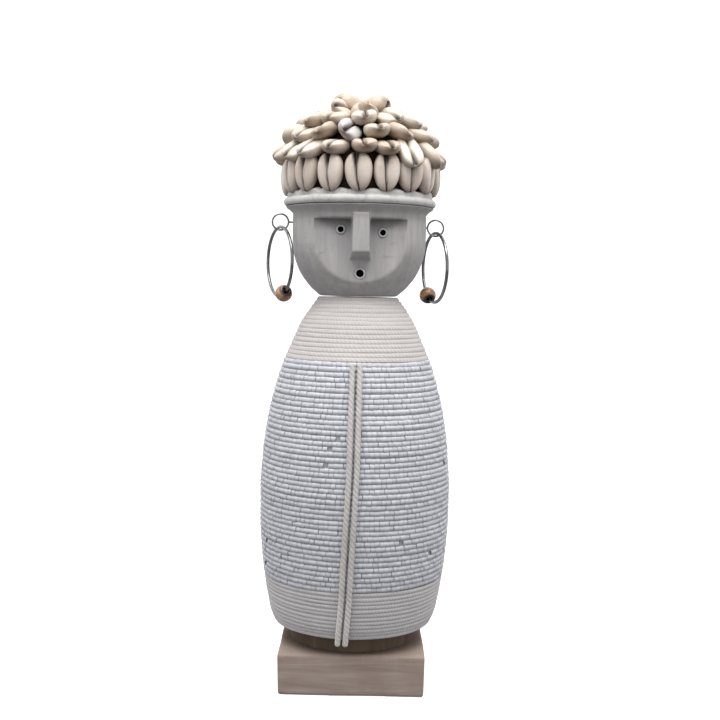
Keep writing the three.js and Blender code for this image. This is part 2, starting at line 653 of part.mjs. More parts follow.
/** The crown: each tier is cut to fit under the one above it, because the shells lie on one another. */
function crownPieces() {
  const lowest = lyingTier();
  const tiers = upperTiers(lowest);
  const last = tiers[tiers.length - 1];
  const pieces = [
    piece("cap_form", capForm([lowest, ...tiers]), darkCap),
    piece("shells_top", toGeometry(topSolid(last)), lyingShell),
  ];
  let room = topSolid(last, GAP);
  for (const tier of [...tiers].reverse()) {
    pieces.push(piece(tier.name, toGeometry(tierSolid(tier).subtract(room)), lyingShell));
    room = room.add(tierSolid(tier, GAP));
  }
  for (let index = 0; index < LYING_COUNT; index += 1) {
    const shell = toSolid(tierShell(lowest, index)).subtract(room);
    pieces.push(piece(`shell_lying_${index + 1}`, toGeometry(shell), lyingShell));
  }
  for (let index = 0; index < UPRIGHT_COUNT; index += 1) {
    pieces.push(piece(`shell_upright_${index + 1}`, uprightShell(index), standingShell));
  }
  return pieces;
}

// ---- The assembly ----
const doll = new THREE.Group();
doll.name = "fertility_doll";
doll.add(
  piece("base_block", baseBlock(), greyWood),
  piece("body_core", bodyCore(), greyWood),
  piece("hem_winding", windingSleeve(bodyBottom, hemTop), hemCord),
  piece("bead_winding", windingSleeve(hemTop + GAP, yokeBottom - GAP), glassBeads),
  piece("yoke_winding", windingSleeve(yokeBottom, bodyTop), yokeCord),
  piece("cord_left", frontCordTube(-1), frontCord),
  piece("cord_right", frontCordTube(1), frontCord),
  piece("head", head(), whitewash),
  piece("eye_bead_left", faceRing(leftEye, EYE_RING), ringBead),
  piece("eye_bead_right", faceRing(rightEye, EYE_RING), ringBead),
  piece("mouth_bead", faceRing(mouth, MOUTH_RING), ringBead),
  piece("rim_band", rimBand(), white),
  piece("eye_pin_left", eyePin(LEFT_PIN), steel),
  piece("eye_pin_right", eyePin(RIGHT_PIN), steel),
  piece("hoop_left", hoop(LEFT_PIN, HOOP_TURN_LEFT), steel),
  piece("hoop_right", hoop(RIGHT_PIN, HOOP_TURN_RIGHT), steel),
  piece("hoop_bead_left", hoopBead(LEFT_PIN, HOOP_TURN_LEFT, BEAD_PLACE_LEFT), brownBead),
  piece("hoop_bead_right", hoopBead(RIGHT_PIN, HOOP_TURN_RIGHT, BEAD_PLACE_RIGHT), brownBead),
  ...crownPieces(),
);

export default doll;
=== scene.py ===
# The looks of the fertility doll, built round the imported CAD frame. Metres, +Z up, face along -Y.
import json
import math
import random

import bmesh
import bpy
import numpy as np
from mathutils import Matrix, Vector


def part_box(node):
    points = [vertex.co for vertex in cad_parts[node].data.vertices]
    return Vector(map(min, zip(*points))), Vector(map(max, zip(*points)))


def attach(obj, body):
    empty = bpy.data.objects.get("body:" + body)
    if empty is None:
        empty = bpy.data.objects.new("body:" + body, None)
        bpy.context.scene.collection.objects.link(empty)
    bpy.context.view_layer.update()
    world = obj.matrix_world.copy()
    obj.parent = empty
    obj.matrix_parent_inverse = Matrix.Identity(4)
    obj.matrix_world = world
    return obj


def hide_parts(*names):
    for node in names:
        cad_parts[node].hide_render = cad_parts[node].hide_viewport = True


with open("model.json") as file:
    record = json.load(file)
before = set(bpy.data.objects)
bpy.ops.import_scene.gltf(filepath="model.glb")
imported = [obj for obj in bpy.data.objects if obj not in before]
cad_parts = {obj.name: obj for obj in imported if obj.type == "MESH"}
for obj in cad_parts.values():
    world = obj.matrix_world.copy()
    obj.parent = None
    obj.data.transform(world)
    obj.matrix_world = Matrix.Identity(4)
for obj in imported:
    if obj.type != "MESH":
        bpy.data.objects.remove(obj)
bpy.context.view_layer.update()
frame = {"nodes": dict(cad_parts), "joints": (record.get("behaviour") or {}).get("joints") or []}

MM = 0.001
UP = Vector((0, 0, 1))
rng = random.Random(7)


# ---- Mesh helpers ----
def link(mesh, name, material, smooth=True):
    """Makes an object of a mesh, adds it to the scene and gives it a material."""
    for polygon in mesh.polygons:
        polygon.use_smooth = smooth
    piece = bpy.data.objects.new(name, mesh)
    bpy.context.scene.collection.objects.link(piece)
    for one in material if isinstance(material, (list, tuple)) else [material]:
        piece.data.materials.append(one)
    return piece


def mesh_of(name, corners, faces):
    """A mesh from an array of corners and an array of four-sided faces."""
    corners = np.asarray(corners, np.float32).reshape(-1, 3)
    faces = np.asarray(faces, np.int32).reshape(-1, 4)
    mesh = bpy.data.meshes.new(name)
    mesh.vertices.add(len(corners))
    mesh.vertices.foreach_set("co", corners.ravel())
    mesh.loops.add(faces.size)
    mesh.loops.foreach_set("vertex_index", faces.ravel())
    mesh.polygons.add(len(faces))
    mesh.polygons.foreach_set("loop_start", np.arange(0, faces.size, 4, dtype=np.int32))
    mesh.update(calc_edges=True)
    return mesh


def grid_faces(rows, columns, closed_rows=False):
    """The four-sided faces between the points of a grid whose rows are rings, numbered row by row."""
    last_row = rows if closed_rows else rows - 1
    row, column = np.meshgrid(np.arange(last_row), np.arange(columns), indexing="ij")
    here = row * columns + column
    right = row * columns + (column + 1) % columns
    above = ((row + 1) % rows) * columns + column
    above_right = ((row + 1) % rows) * columns + (column + 1) % columns
    return np.stack([here, right, above_right, above], -1).reshape(-1, 4)


def tidy(mesh):
    """Merges doubled corners and turns every face outwards."""
    work = bmesh.new()
    work.from_mesh(mesh)
    bmesh.ops.remove_doubles(work, verts=work.verts, dist=1e-6)
    bmesh.ops.dissolve_degenerate(work, edges=work.edges, dist=1e-7)
    bmesh.ops.recalc_face_normals(work, faces=work.faces)
    work.to_mesh(mesh)
    work.free()
    return mesh


def turned(name, outline, material, sides=160, wobble=0.0):
    """Turns a closed outline of (radius, height) pairs about the Z axis, slightly uneven if asked."""
    outline = np.asarray(outline, float)
    angle = np.linspace(0, 2 * math.pi, sides, endpoint=False)
    radius = outline[:, 0][:, None] * np.ones(sides)
    height = outline[:, 1][:, None] * np.ones(sides)
    if wobble:
        for count in (2, 5, 11):
            phase = rng.uniform(0, 6.28)
            height = height + wobble / count * np.sin(count * angle + phase)
            radius = radius + wobble / count * np.sin(count * angle + 2 * phase)
    corners = np.stack([radius * np.cos(angle), radius * np.sin(angle), height], -1)
    faces = grid_faces(len(outline), sides, closed_rows=True)
    return link(tidy(mesh_of(name, corners, faces)), name, material)


def outline_of(*nodes):
    """The outer outline of CAD nodes turned about Z, as rising heights and radii, read from their backs."""
    levels = {}
    for node in nodes:
        for vertex in frame["nodes"][node].data.vertices:
            if vertex.co.y < 1 * MM:
                continue
            height = round(vertex.co.z, 5)
            radius = math.hypot(vertex.co.x, vertex.co.y)
            levels[height] = max(levels.get(height, 0.0), radius)
    heights = sorted(levels)
    return np.array(heights), np.array([levels[height] for height in heights])


def smooth_curve(x, y, softness):
    """A finely sampled, softened version of a broken line."""
    fine = np.linspace(x[0], x[-1], 400)
    values = np.interp(fine, x, y)
    kernel = np.hanning(2 * softness * 6 + 1)
    kernel /= kernel.sum()
    padded = np.concatenate([
        2 * values[0] - values[1:len(kernel) // 2 + 1][::-1],
        values,
        2 * values[-1] - values[-len(kernel) // 2:-1][::-1],
    ])
    return fine, np.convolve(padded, kernel, "valid")[:len(fine)]


def keep(piece, body, node):
    """Puts a piece on a body, in place of a CAD node, which it hides."""
    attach(piece, body)
    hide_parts(node)


def finish_carving(piece, material):
    """Smooth shading and one material all over, after cuts and remeshing."""
    for polygon in piece.data.polygons:
        polygon.use_smooth = True
    piece.data.materials.clear()
    piece.data.materials.append(material)


# ---- Node material helpers ----
MIX_FIRST, MIX_SECOND, MIX_RESULT = 6, 7, 2  # where a mix node keeps its colours


def fill_ramp(node, stops):
    """Gives a ramp node its (position, colour) stops."""
    elements = node.color_ramp.elements
    while len(elements) < len(stops):
        elements.new(0.5)
    for element, (position, colour) in zip(elements, stops):
        element.position = position
        element.color = (*colour, 1)


class Nodes:
    """A small writer of node materials."""

    def __init__(self, name):
        self.material = bpy.data.materials.new(name)
        self.material.use_nodes = True
        self.tree = self.material.node_tree
        self.shader = self.tree.nodes["Principled BSDF"]
        self.place = self.tree.nodes.new("ShaderNodeTexCoord").outputs["Object"]

    def add(self, kind, **inputs):
        node = self.tree.nodes.new(kind)
        for key, value in inputs.items():
            self.set(node.inputs[key.replace("_", " ")], value)
        return node

    def set(self, socket, value):
        if isinstance(value, bpy.types.NodeSocket):
            self.tree.links.new(value, socket)
        else:
            socket.default_value = value

    def scaled(self, scale):
        """Object coordinates stretched by a scale for each axis."""
        node = self.add("ShaderNodeMapping", Vector=self.place)
        node.inputs["Scale"].default_value = scale
        return node.outputs["Vector"]

    def noise(self, scale, detail=4.0, roughness=0.55, vector=None, distortion=0.0):
        node = self.add(
            "ShaderNodeTexNoise", Vector=vector or self.place, Scale=scale, Detail=detail,
            Roughness=roughness, Distortion=distortion,
        )
        return node.outputs["Fac"]

    def ramp(self, value, stops):
        """A colour ramp of (position, colour) stops."""
        node = self.add("ShaderNodeValToRGB", Fac=value)
        fill_ramp(node, stops)
        return node.outputs["Color"]

    def levels(self, value, low, high, out_low=0.0, out_high=1.0):
        node = self.add("ShaderNodeMapRange", Value=value)
        for key, number in (("From Min", low), ("From Max", high), ("To Min", out_low), ("To Max", out_high)):
            self.set(node.inputs[key], number)
        return node.outputs["Result"]

    def mix(self, factor, first, second):
        node = self.add("ShaderNodeMix")
        node.data_type = "RGBA"
        self.set(node.inputs["Factor"], factor)
        for socket, colour in ((MIX_FIRST, first), (MIX_SECOND, second)):
            self.set(node.inputs[socket], (*colour, 1) if isinstance(colour, tuple) else colour)
        return node.outputs[MIX_RESULT]

    def maths(self, operation, first, second=0.0):
        node = self.tree.nodes.new("ShaderNodeMath")
        node.operation = operation
        self.set(node.inputs[0], first)
        self.set(node.inputs[1], second)
        return node.outputs[0]

    def attribute(self, name):
        node = self.tree.nodes.new("ShaderNodeAttribute")
        node.attribute_name = name
        return node

    def bump(self, height, strength, distance=0.0005):
        node = self.add("ShaderNodeBump", Height=height, Strength=strength, Distance=distance)
        return node.outputs["Normal"]

    def finish(self, colour, roughness=0.5, normal=None, **plain):
        self.set(self.shader.inputs["Base Color"], (*colour, 1) if isinstance(colour, tuple) else colour)
        self.set(self.shader.inputs["Roughness"], roughness)
        if normal is not None:
            self.set(self.shader.inputs["Normal"], normal)
        for key, value in plain.items():
            self.set(self.shader.inputs[key.replace("_", " ")], value)
        return self.material


def shade(red, green, blue):
    """A linear colour from 0-255 screen values."""
    return tuple((value / 255) ** 2.2 for value in (red, green, blue))


def paint(mesh, name, values):
    """Stores one value, or a colour of four, for each corner point of a mesh, for a material to read."""
    layer = mesh.color_attributes.new(name, "FLOAT_COLOR", "POINT")
    values = np.asarray(values, np.float32)
    if values.ndim == 1:
        values = np.repeat(values[:, None], 4, 1)
    layer.data.foreach_set("color", values.ravel())


# ---- Materials ----
def base_wood():
    n = Nodes("base_wood_grain")
    grain = n.noise(7.0, 6, 0.6, n.scaled((2.0, 2.0, 26.0)), 0.8)
    fine = n.noise(70.0, 6, 0.7, n.scaled((2.0, 2.0, 9.0)))
    patches = n.noise(34.0, 4, 0.6)
    tones = [(0.3, shade(130, 115, 106)), (0.5, shade(150, 136, 127)), (0.72, shade(168, 156, 148))]
    colour = n.ramp(grain, tones)
    colour = n.mix(n.levels(fine, 0.4, 0.75, 0.0, 0.3), colour, shade(166, 152, 143))
    colour = n.mix(n.levels(patches, 0.45, 0.72, 0.0, 0.5), colour, shade(126, 108, 97))
    # Painted shade on the top round the body, from the mesh's mask.
    colour = n.mix(n.attribute("painted_shade").outputs["Fac"], colour, shade(112, 99, 89))
    height = n.maths("ADD", grain, n.maths("MULTIPLY", fine, 0.6))
    roughness = n.levels(fine, 0.2, 0.8, 0.75, 0.95)
    return n.finish(colour, roughness, n.bump(height, 0.35), Specular_IOR_Level=0.25)


def core_wood():
    n = Nodes("core_wood_painted_shade")
    grain = n.noise(14.0, 6, 0.6, n.scaled((8.0, 8.0, 1.0)))
    # Painted shade: the foot shows only in the gap under the body, so its wood is made dark to stand for the
    # shadow there.
    colour = n.ramp(grain, [(0.3, shade(78, 67, 58)), (0.7, shade(110, 96, 84))])
    roughness = n.levels(grain, 0.2, 0.8, 0.85, 0.98)
    return n.finish(colour, roughness, n.bump(grain, 0.4), Specular_IOR_Level=0.15)


def whitewash():
    n = Nodes("whitewashed_head")
    streaks = n.noise(24.0, 9, 0.7, n.scaled((9.0, 9.0, 1.3)), 0.35)
    fine = n.noise(90.0, 6, 0.7, n.scaled((6.0, 6.0, 0.8)))
    clouds = n.noise(26.0, 3, 0.5)
    smudge = n.noise(55.0, 5, 0.65, n.scaled((1.0, 1.0, 1.8)), 1.0)
    tones = [(0.28, shade(146, 143, 142)), (0.5, shade(161, 158, 157)), (0.7, shade(174, 171, 169))]
    colour = n.ramp(streaks, tones)
    colour = n.mix(n.levels(fine, 0.4, 0.75, 0.0, 0.35), colour, shade(184, 181, 179))
    colour = n.mix(n.levels(clouds, 0.46, 0.7, 0.0, 0.45), colour, shade(156, 151, 160))
    colour = n.mix(n.levels(smudge, 0.58, 0.74, 0.0, 0.42), colour, shade(112, 105, 103))
    # Painted shade under the lip and the brow, from the mesh's mask.
    colour = n.mix(n.attribute("painted_shade").outputs["Fac"], colour, shade(74, 68, 66))
    height = n.maths("ADD", streaks, n.maths("MULTIPLY", fine, 0.6))
    roughness = n.levels(streaks, 0.2, 0.8, 0.62, 0.82)
    return n.finish(colour, roughness, n.bump(height, 0.3), Specular_IOR_Level=0.25)


def cord_material(name, tint, dark, fibre_scale=1.0):
    """Cotton cord: fine fibres and soft colour changes, with painted shading from the mesh: darker in its
    hollows, lighter on its crests.
    """
    n = Nodes(name)
    fibres = n.noise(420.0 * fibre_scale, 4, 0.7)
    patches = n.noise(45.0, 4, 0.6)
    bright = n.attribute("painted_shading_and_tone").outputs["Fac"]
    colour = n.mix(n.levels(fibres, 0.3, 0.7, 0.0, 0.35), tint, dark)
    colour = n.mix(n.levels(patches, 0.4, 0.7, 0.0, 0.25), colour, dark)
    colour = n.mix(bright, dark, colour)
    return n.finish(colour, n.levels(fibres, 0.2, 0.8, 0.75, 0.95), n.bump(fibres, 0.3, 0.0003),
                    Sheen_Weight=0.15, Specular_IOR_Level=0.2)


def bead_material(name, bright, dull):
    """Opaque glass seed beads, each with its own tone and a worn skin."""
    n = Nodes(name)
    tone = n.attribute("tone").outputs["Fac"]
    patches = n.noise(38.0, 3, 0.5)
    grime = n.noise(900.0, 3, 0.6)
    colour = n.mix(tone, dull, bright)
    colour = n.mix(n.levels(patches, 0.42, 0.7, 0.0, 0.2), colour, dull)
    colour = n.mix(n.levels(grime, 0.5, 0.8, 0.0, 0.25), colour, dull)
    return n.finish(colour, n.levels(grime, 0.2, 0.8, 0.48, 0.65), n.bump(grime, 0.15, 0.0001),
                    Specular_IOR_Level=0.35)


def backing_cloth():
    n = Nodes("grey_backing")
    weave = n.noise(700.0, 3, 0.6)
    colour = n.ramp(weave, [(0.3, shade(138, 138, 143)), (0.7, shade(160, 160, 165))])
    return n.finish(colour, n.levels(weave, 0.2, 0.8, 0.85, 1.0), n.bump(weave, 0.4, 0.0003))


def rim_material():
    n = Nodes("white_rim_paint")
    clouds = n.noise(60.0, 5, 0.6)
    grime = n.noise(230.0, 5, 0.7)
    colour = n.ramp(clouds, [(0.3, shade(176, 174, 172)), (0.6, shade(196, 194, 192))])
    colour = n.mix(n.levels(grime, 0.52, 0.74, 0.0, 0.6), colour, shade(134, 126, 119))
    height = n.maths("ADD", clouds, n.maths("MULTIPLY", grime, 0.5))
    return n.finish(colour, n.levels(grime, 0.2, 0.8, 0.45, 0.7), n.bump(height, 0.4))


def cap_material():
    # A dark brown cap under the shells, showing in the gaps between them.
    n = Nodes("dark_brown_cap")
    weave = n.noise(500.0, 4, 0.6)
    colour = n.ramp(weave, [(0.3, shade(34, 24, 17)), (0.7, shade(64, 48, 36))])
    return n.finish(colour, n.levels(weave, 0.2, 0.8, 0.85, 1.0), n.bump(weave, 0.5))


def shell_material(name, pale, warm, deep):
    """Cowrie: pale lips and a warmer back; the mesh paints its tone, its painted shade, the slit's painted
    shadow and bleaching.
    """
    n = Nodes(name)
    mask = n.attribute("shell")
    parts = n.add("ShaderNodeSeparateColor", Color=mask.outputs["Color"])
    tone, shell_painted_shade, slit = parts.outputs[0], parts.outputs[1], parts.outputs[2]
    clouds = n.noise(130.0, 5, 0.6, distortion=0.5)
    specks = n.noise(700.0, 3, 0.6)
    colour = n.mix(tone, pale, warm)
    colour = n.mix(n.levels(clouds, 0.35, 0.7, 0.0, 0.6), colour, warm)
    colour = n.mix(mask.outputs["Alpha"], colour, shade(196, 194, 197))
    colour = n.mix(n.levels(specks, 0.6, 0.8, 0.0, 0.4), colour, deep)
    # Painted shade from the mesh, in deep brown.
    colour = n.mix(shell_painted_shade, colour, deep)
    # Painted shadow inside the slit, near black.
    colour = n.mix(slit, colour, shade(26, 18, 12))
    return n.finish(colour, n.levels(specks, 0.2, 0.8, 0.28, 0.46), n.bump(clouds, 0.2, 0.0004),
                    Coat_Weight=0.15, Coat_Roughness=0.2)


def steel():
    n = Nodes("polished_steel_wire")
    scratches = n.noise(300.0, 4, 0.6)
    colour = n.ramp(scratches, [(0.3, (0.16, 0.16, 0.165)), (0.7, (0.30, 0.30, 0.31))])
    roughness = n.levels(scratches, 0.3, 0.7, 0.16, 0.3)
    return n.finish(colour, roughness, n.bump(scratches, 0.1, 0.0001), Metallic=1.0)


def bead_wood():
    n = Nodes("brown_bead_polish")
    ends = n.attribute("ends").outputs["Fac"]
    swirls = n.noise(210.0, 6, 0.65, distortion=1.2)
    tones = [(0.3, shade(72, 48, 30)), (0.5, shade(142, 106, 72)), (0.72, shade(196, 160, 120))]
    colour = n.ramp(swirls, tones)
    colour = n.mix(ends, colour, shade(36, 24, 16))
    roughness = n.levels(swirls, 0.2, 0.8, 0.25, 0.42)
    return n.finish(colour, roughness, n.bump(swirls, 0.15, 0.0002), Coat_Weight=0.3)


def ring_material():
    n = Nodes("white_ring_glass")
    clouds = n.noise(300.0, 3, 0.5)
    colour = n.ramp(clouds, [(0.3, shade(160, 160, 162)), (0.7, shade(196, 196, 198))])
    return n.finish(colour, n.levels(clouds, 0.2, 0.8, 0.3, 0.5), n.bump(clouds, 0.1, 0.0001))


def hole_shadow():
    # Near black, put in the face rings' holes as their painted shadow.
    n = Nodes("painted_hole_shadow")
    clouds = n.noise(300.0, 3, 0.5)
    return n.finish(n.ramp(clouds, [(0.3, (0.001, 0.001, 0.001)), (0.7, (0.004, 0.004, 0.004))]), 0.9,
                    Specular_IOR_Level=0.0)


# ---- The body's windings ----
OUTLINE_Z, OUTLINE_R = smooth_curve(*outline_of("hem_winding", "bead_winding", "yoke_winding"), 2)
BEAD_PITCH = 2.89 * MM  # between rows of the main zone, along the surface
BEAD_LENGTH = 2.75 * MM
MISSING_BEADS = 0.004  # share of the beads that are left out
ROW_WAVES = ((1, 0.16), (2, 0.1), (3, 0.08))  # waves round a row of beads, and how far they lift it in mm
CORD_WAVES = ((1, 0.16), (3, 0.09), (7, 0.05))  # the same for a row of cord
BEAD_PIECES = 4  # the main zone's beads are made as this many pieces, one above the other
BEAD_CROWDING = 1.05  # thickness of a bead as a share of the space between rows
YOKE_PITCH = 2.8 * MM
HEM_PITCH = 2.42 * MM
SLEEVE_DEPTH = 2.4 * MM  # how deep the wound sleeves reach under the surface
BACKING_DEPTH = 0.9 * MM  # and the cloth behind the beads


def radius_at(height):
    return float(np.interp(height, OUTLINE_Z, OUTLINE_R))


def slope_at(height):
    """Angle of the surface from upright: positive where the body narrows upwards."""
    step = 1.5 * MM
    return math.atan2(radius_at(height - step) - radius_at(height + step), 2 * step)


def row_heights(low, high, pitch):
    """Heights of the rows' middles, an equal distance apart along the surface."""
    length, height, step = 0.0, low, 0.2 * MM
    stations = []
    while height < high:
        stations.append((length, height))
        length += step / math.cos(slope_at(height))
        height += step
    stations = np.array(stations)
    count = max(1, round(length / pitch))
    marks = (np.arange(count) + 0.5) * length / count
    return np.interp(marks, stations[:, 0], stations[:, 1]), length / count


def bead_template(length, thickness):
    """One seed bead about X: a short barrel, squarish across so that the rows pack closely."""
    profile = [(-0.5, 0.92), (-0.42, 0.985), (0.0, 1.0), (0.42, 0.985), (0.5, 0.92)]
    sides, squareness = 10, 2.7
    corners = []
    for along, out in profile:
        for side in range(sides):
            across = math.cos(2 * math.pi * side / sides)
            up = math.sin(2 * math.pi * side / sides)
            rounding = (abs(across) ** squareness + abs(up) ** squareness) ** (-1 / squareness)
            reach = out * thickness / 2 * rounding
            corners.append((along * length, reach * across, reach * up))
    return np.array(corners), grid_faces(len(profile), sides)


def bead_rows(name, low, high, material):
    """Rows of seed beads round the body between two heights, each bead slightly out of line."""
    rows, thickness = row_heights(low, high, BEAD_PITCH)
    template, faces = bead_template(BEAD_LENGTH, thickness * BEAD_CROWDING)
    all_corners, all_faces, tones = [], [], []
    for height in rows:
        slope = slope_at(height)
        radius = radius_at(height) - thickness / 2 * math.cos(slope)
        count = int(2 * math.pi * radius / BEAD_LENGTH)
        phase = rng.uniform(0, 2 * math.pi)
        sway = [rng.uniform(0, 2 * math.pi) for _ in range(3)]
        row_tone = rng.uniform(-0.16, 0.16)
        for bead in range(count):
            if rng.random() < MISSING_BEADS:
                continue
            angle = phase + 2 * math.pi * (bead + rng.uniform(-0.06, 0.06)) / count
            waves = [math.sin(times * angle + start) * far for (times, far), start in zip(ROW_WAVES, sway)]
            lift = sum(waves) * MM
            lift += rng.uniform(-0.07, 0.07) * MM
            out = Vector((math.cos(angle), math.sin(angle), 0))
            along = Vector((-math.sin(angle), math.cos(angle), rng.uniform(-0.09, 0.09))).normalized()
            normal = (out * math.cos(slope) + UP * math.sin(slope)).normalized()
            across = normal.cross(along).normalized()
            size = rng.uniform(0.95, 1.03)
            centre = out * (radius + rng.uniform(-0.12, 0.12) * MM) + UP * (height + lift)
            basis = np.array([along, across, normal]) * np.array([[rng.uniform(0.97, 1.04)], [size], [size]])
            all_faces.append(faces + len(all_corners) * len(template))
            all_corners.append(template @ basis + np.array(centre))
            tone = min(1.0, max(0.0, 0.5 + row_tone + rng.gauss(0, 0.2)))
            tones.append(np.full(len(template), tone))
    mesh = mesh_of(name, np.concatenate(all_corners), np.concatenate(all_faces))
    paint(mesh, "tone", np.concatenate(tones))
    return link(mesh, name, material)


def cord_rows(name, low, high, pitch, material, relief, lay, bright_rows=0):
    """Cord wound in rows: one ribbed sleeve with a wandering surface and the cord's twist in relief."""
    rows, real_pitch = row_heights(low, high, pitch)
    sides = 720
    angle = np.linspace(0, 2 * math.pi, sides, endpoint=False)
    corners, shadings_and_tones = [], []
    bulge = real_pitch / 2
    for index, height in enumerate(rows):
        slope = slope_at(height)
        radius = radius_at(height) - bulge * relief
        phases = [rng.uniform(0, 6.28) for _ in range(4)]
        drift = sum(np.sin(waves * angle + phase) * far for (waves, far), phase in zip(CORD_WAVES, phases))
        swell = 1 + 0.05 * np.sin(5 * angle + phases[3]) + 0.03 * np.sin(17 * angle + phases[0])
        row_tone = rng.uniform(-0.1, 0.05)
        for turn in np.radians((-78, -52, -25, 0, 25, 52, 78)):
            twist = np.sin(lay * angle + 2.2 * turn + 3 * phases[2]) * math.cos(turn)
            out = bulge * relief * math.cos(turn) * (swell + 0.28 * twist)
            rise = bulge * math.sin(turn)
            reach = radius + out * math.cos(slope) - rise * math.sin(slope)
            level = height + drift * MM + out * math.sin(slope) + rise * math.cos(slope)
            corners.append(np.stack([reach * np.cos(angle), reach * np.sin(angle), level], -1))
            # Painted shading: lighter on each rib's crest and along its twist, darker in the hollows between
            # rows; each row also gets its own random tone, and the lowest bright_rows rows are painted at
            # full brightness.
            painted_shading_and_tone = 0.45 + 0.5 * math.cos(turn) ** 1.2 + row_tone
            painted_shading_and_tone = 1.0 if index < bright_rows else painted_shading_and_tone
            shadings_and_tones.append(painted_shading_and_tone + 0.05 * np.sin(3 * angle + phases[1]) + 0.10 * twist)
    # The sleeve's cut edges are painted dark as shade.
    for radius, level in ((radius_at(high), high), (radius_at(low), low)):
        inner = radius - SLEEVE_DEPTH
        corners.append(np.stack([inner * np.cos(angle), inner * np.sin(angle), np.full(sides, level)], -1))
        shadings_and_tones.append(np.full(sides, 0.2))
    mesh = mesh_of(name, np.concatenate(corners), grid_faces(len(corners), sides, closed_rows=True))
    paint(mesh, "painted_shading_and_tone", np.concatenate(shadings_and_tones))
    return link(mesh, name, material)


# ---- The cords down the front ----
FRONT_CORD_RADIUS = 1.65 * MM
FRONT_CORD_LAY = 9.0 * MM  # the length in which a strand goes once round
FRONT_CORD_STRANDS = 3
SLICE_REACH = 5.5 * MM  # how far a slice of the CAD cord looks up and down for its points


def cad_centreline(node, steps):
    """Centre points of a CAD cord, from the top down, read from slices of its mesh."""
    points = np.array([vertex.co for vertex in frame["nodes"][node].data.vertices])
    levels = np.linspace(points[:, 2].max(), points[:, 2].min(), 24)
    centres = []
    for level in levels:
        near = points[np.abs(points[:, 2] - level) < SLICE_REACH]
        weight = np.clip(1 - np.abs(near[:, 2] - level) / SLICE_REACH, 0.02, 1)
        centre = (near * weight[:, None]).sum(0) / weight.sum()
        centres.append((centre[0], centre[1], level))
    centres = np.array(centres)
    fine = np.linspace(levels[0], levels[-1], steps)
    x = np.interp(-fine, -centres[:, 2], centres[:, 0])
    y = np.interp(-fine, -centres[:, 2], centres[:, 1])
    return np.stack([x, y, fine], -1)


def twisted_cord(name, node, material):
    """A laid cord along its CAD solid's centre line, its ends rounded over."""
    path = cad_centreline(node, 300)
    sides = 24
    corners, shadings_and_tones = [], []
    travelled = 0.0
    total = float(np.linalg.norm(np.diff(path, axis=0), axis=1).sum())
    for index, point in enumerate(path):
        if index:
            travelled += float(np.linalg.norm(path[index] - path[index - 1]))
        ahead = path[min(index + 1, len(path) - 1)] - path[max(index - 1, 0)]
        along = Vector(ahead).normalized()
        side = along.cross(Vector((0, -1, 0))).normalized()
        front = side.cross(along).normalized()
        to_end = min(travelled, total - travelled)
        closing = math.sqrt(max(0.0, 1 - max(0.0, 1 - to_end / FRONT_CORD_RADIUS) ** 2))
        for step in range(sides):
            angle = 2 * math.pi * step / sides
            lobe = abs(math.cos(FRONT_CORD_STRANDS / 2 * (angle - 2 * math.pi * travelled / FRONT_CORD_LAY)))
            reach = FRONT_CORD_RADIUS * (0.84 + 0.16 * lobe) * closing
            offset = side * (reach * math.cos(angle)) + front * (reach * math.sin(angle))
            corners.append(np.array(point) + np.array(offset))
            # Painted shading: lighter on each strand's crest, darker between strands and near the top end,
            # and painted lighter towards the lower end.
            lower = travelled / total
            lobe *= min(1.0, 0.2 + travelled / (4 * MM))
            shadings_and_tones.append((0.4 + 0.5 * lobe) * (0.72 + 0.28 * lower) + 0.35 * max(0.0, lower - 0.8) / 0.2)
    mesh = mesh_of(name, corners, grid_faces(len(path), sides))
    paint(mesh, "painted_shading_and_tone", shadings_and_tones)
    return link(tidy(mesh), name, material)


# ---- The base ----
def worn_base(material):
    """The block with its edges worn round and its faces a little uneven, with painted shade on its top round
    the body.
    """
    base = link(frame["nodes"]["base_block"].data.copy(), "worn_base", material)
    low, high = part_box("base_block")
    round_over(base, 1.0 * MM, 3)
    # Painted shade on the top face, darkest round the body's foot, where the body shades the base.
    painted_shade = []
    for vertex in base.data.vertices:
        place = vertex.co
        place.x *= 1 - 0.012 * (high.z - place.z) / (high.z - low.z)
        dent = 0.25 * MM * math.sin(95 * place.x + 60 * place.z) * math.sin(130 * place.y + 40 * place.z)
        place.y += dent
        place.x += dent * 0.6
        on_top = 1.0 if place.z > high.z - 1.2 * MM else 0.0
        near = 1 - (math.hypot(place.x, place.y) - 36 * MM) / (16 * MM)
        painted_shade.append(on_top * 0.75 * min(1.0, max(0.0, near)))
    paint(base.data, "painted_shade", painted_shade)
    finish_carving(base, material)
    return base


# ---- The head ----
LIP_HEIGHT = 4.8 * MM
FACE_TOP = 266.0 * MM
FACE_FRONT = 30.8 * MM
FACE_EDGE_FRONT = 29.2 * MM
FACE_HALF_WIDTH = 26.6 * MM
NOSE = {  # heights, depth and widths in millimetres
    "top": 269.2, "tip": 247.0, "foot": 241.0, "front": 41.6,
    "top_width": 8.8, "tip_width": 9.8, "flare": 1.3,
}


def solid_from(corners, faces, name):
    mesh = bpy.data.meshes.new(name)
    mesh.from_pydata(corners, [], faces)
    work = bmesh.new()
    work.from_mesh(mesh)
    bmesh.ops.recalc_face_normals(work, faces=work.faces)
    work.to_mesh(mesh)
    work.free()
    piece = bpy.data.objects.new(name, mesh)
    bpy.context.scene.collection.objects.link(piece)
    return piece


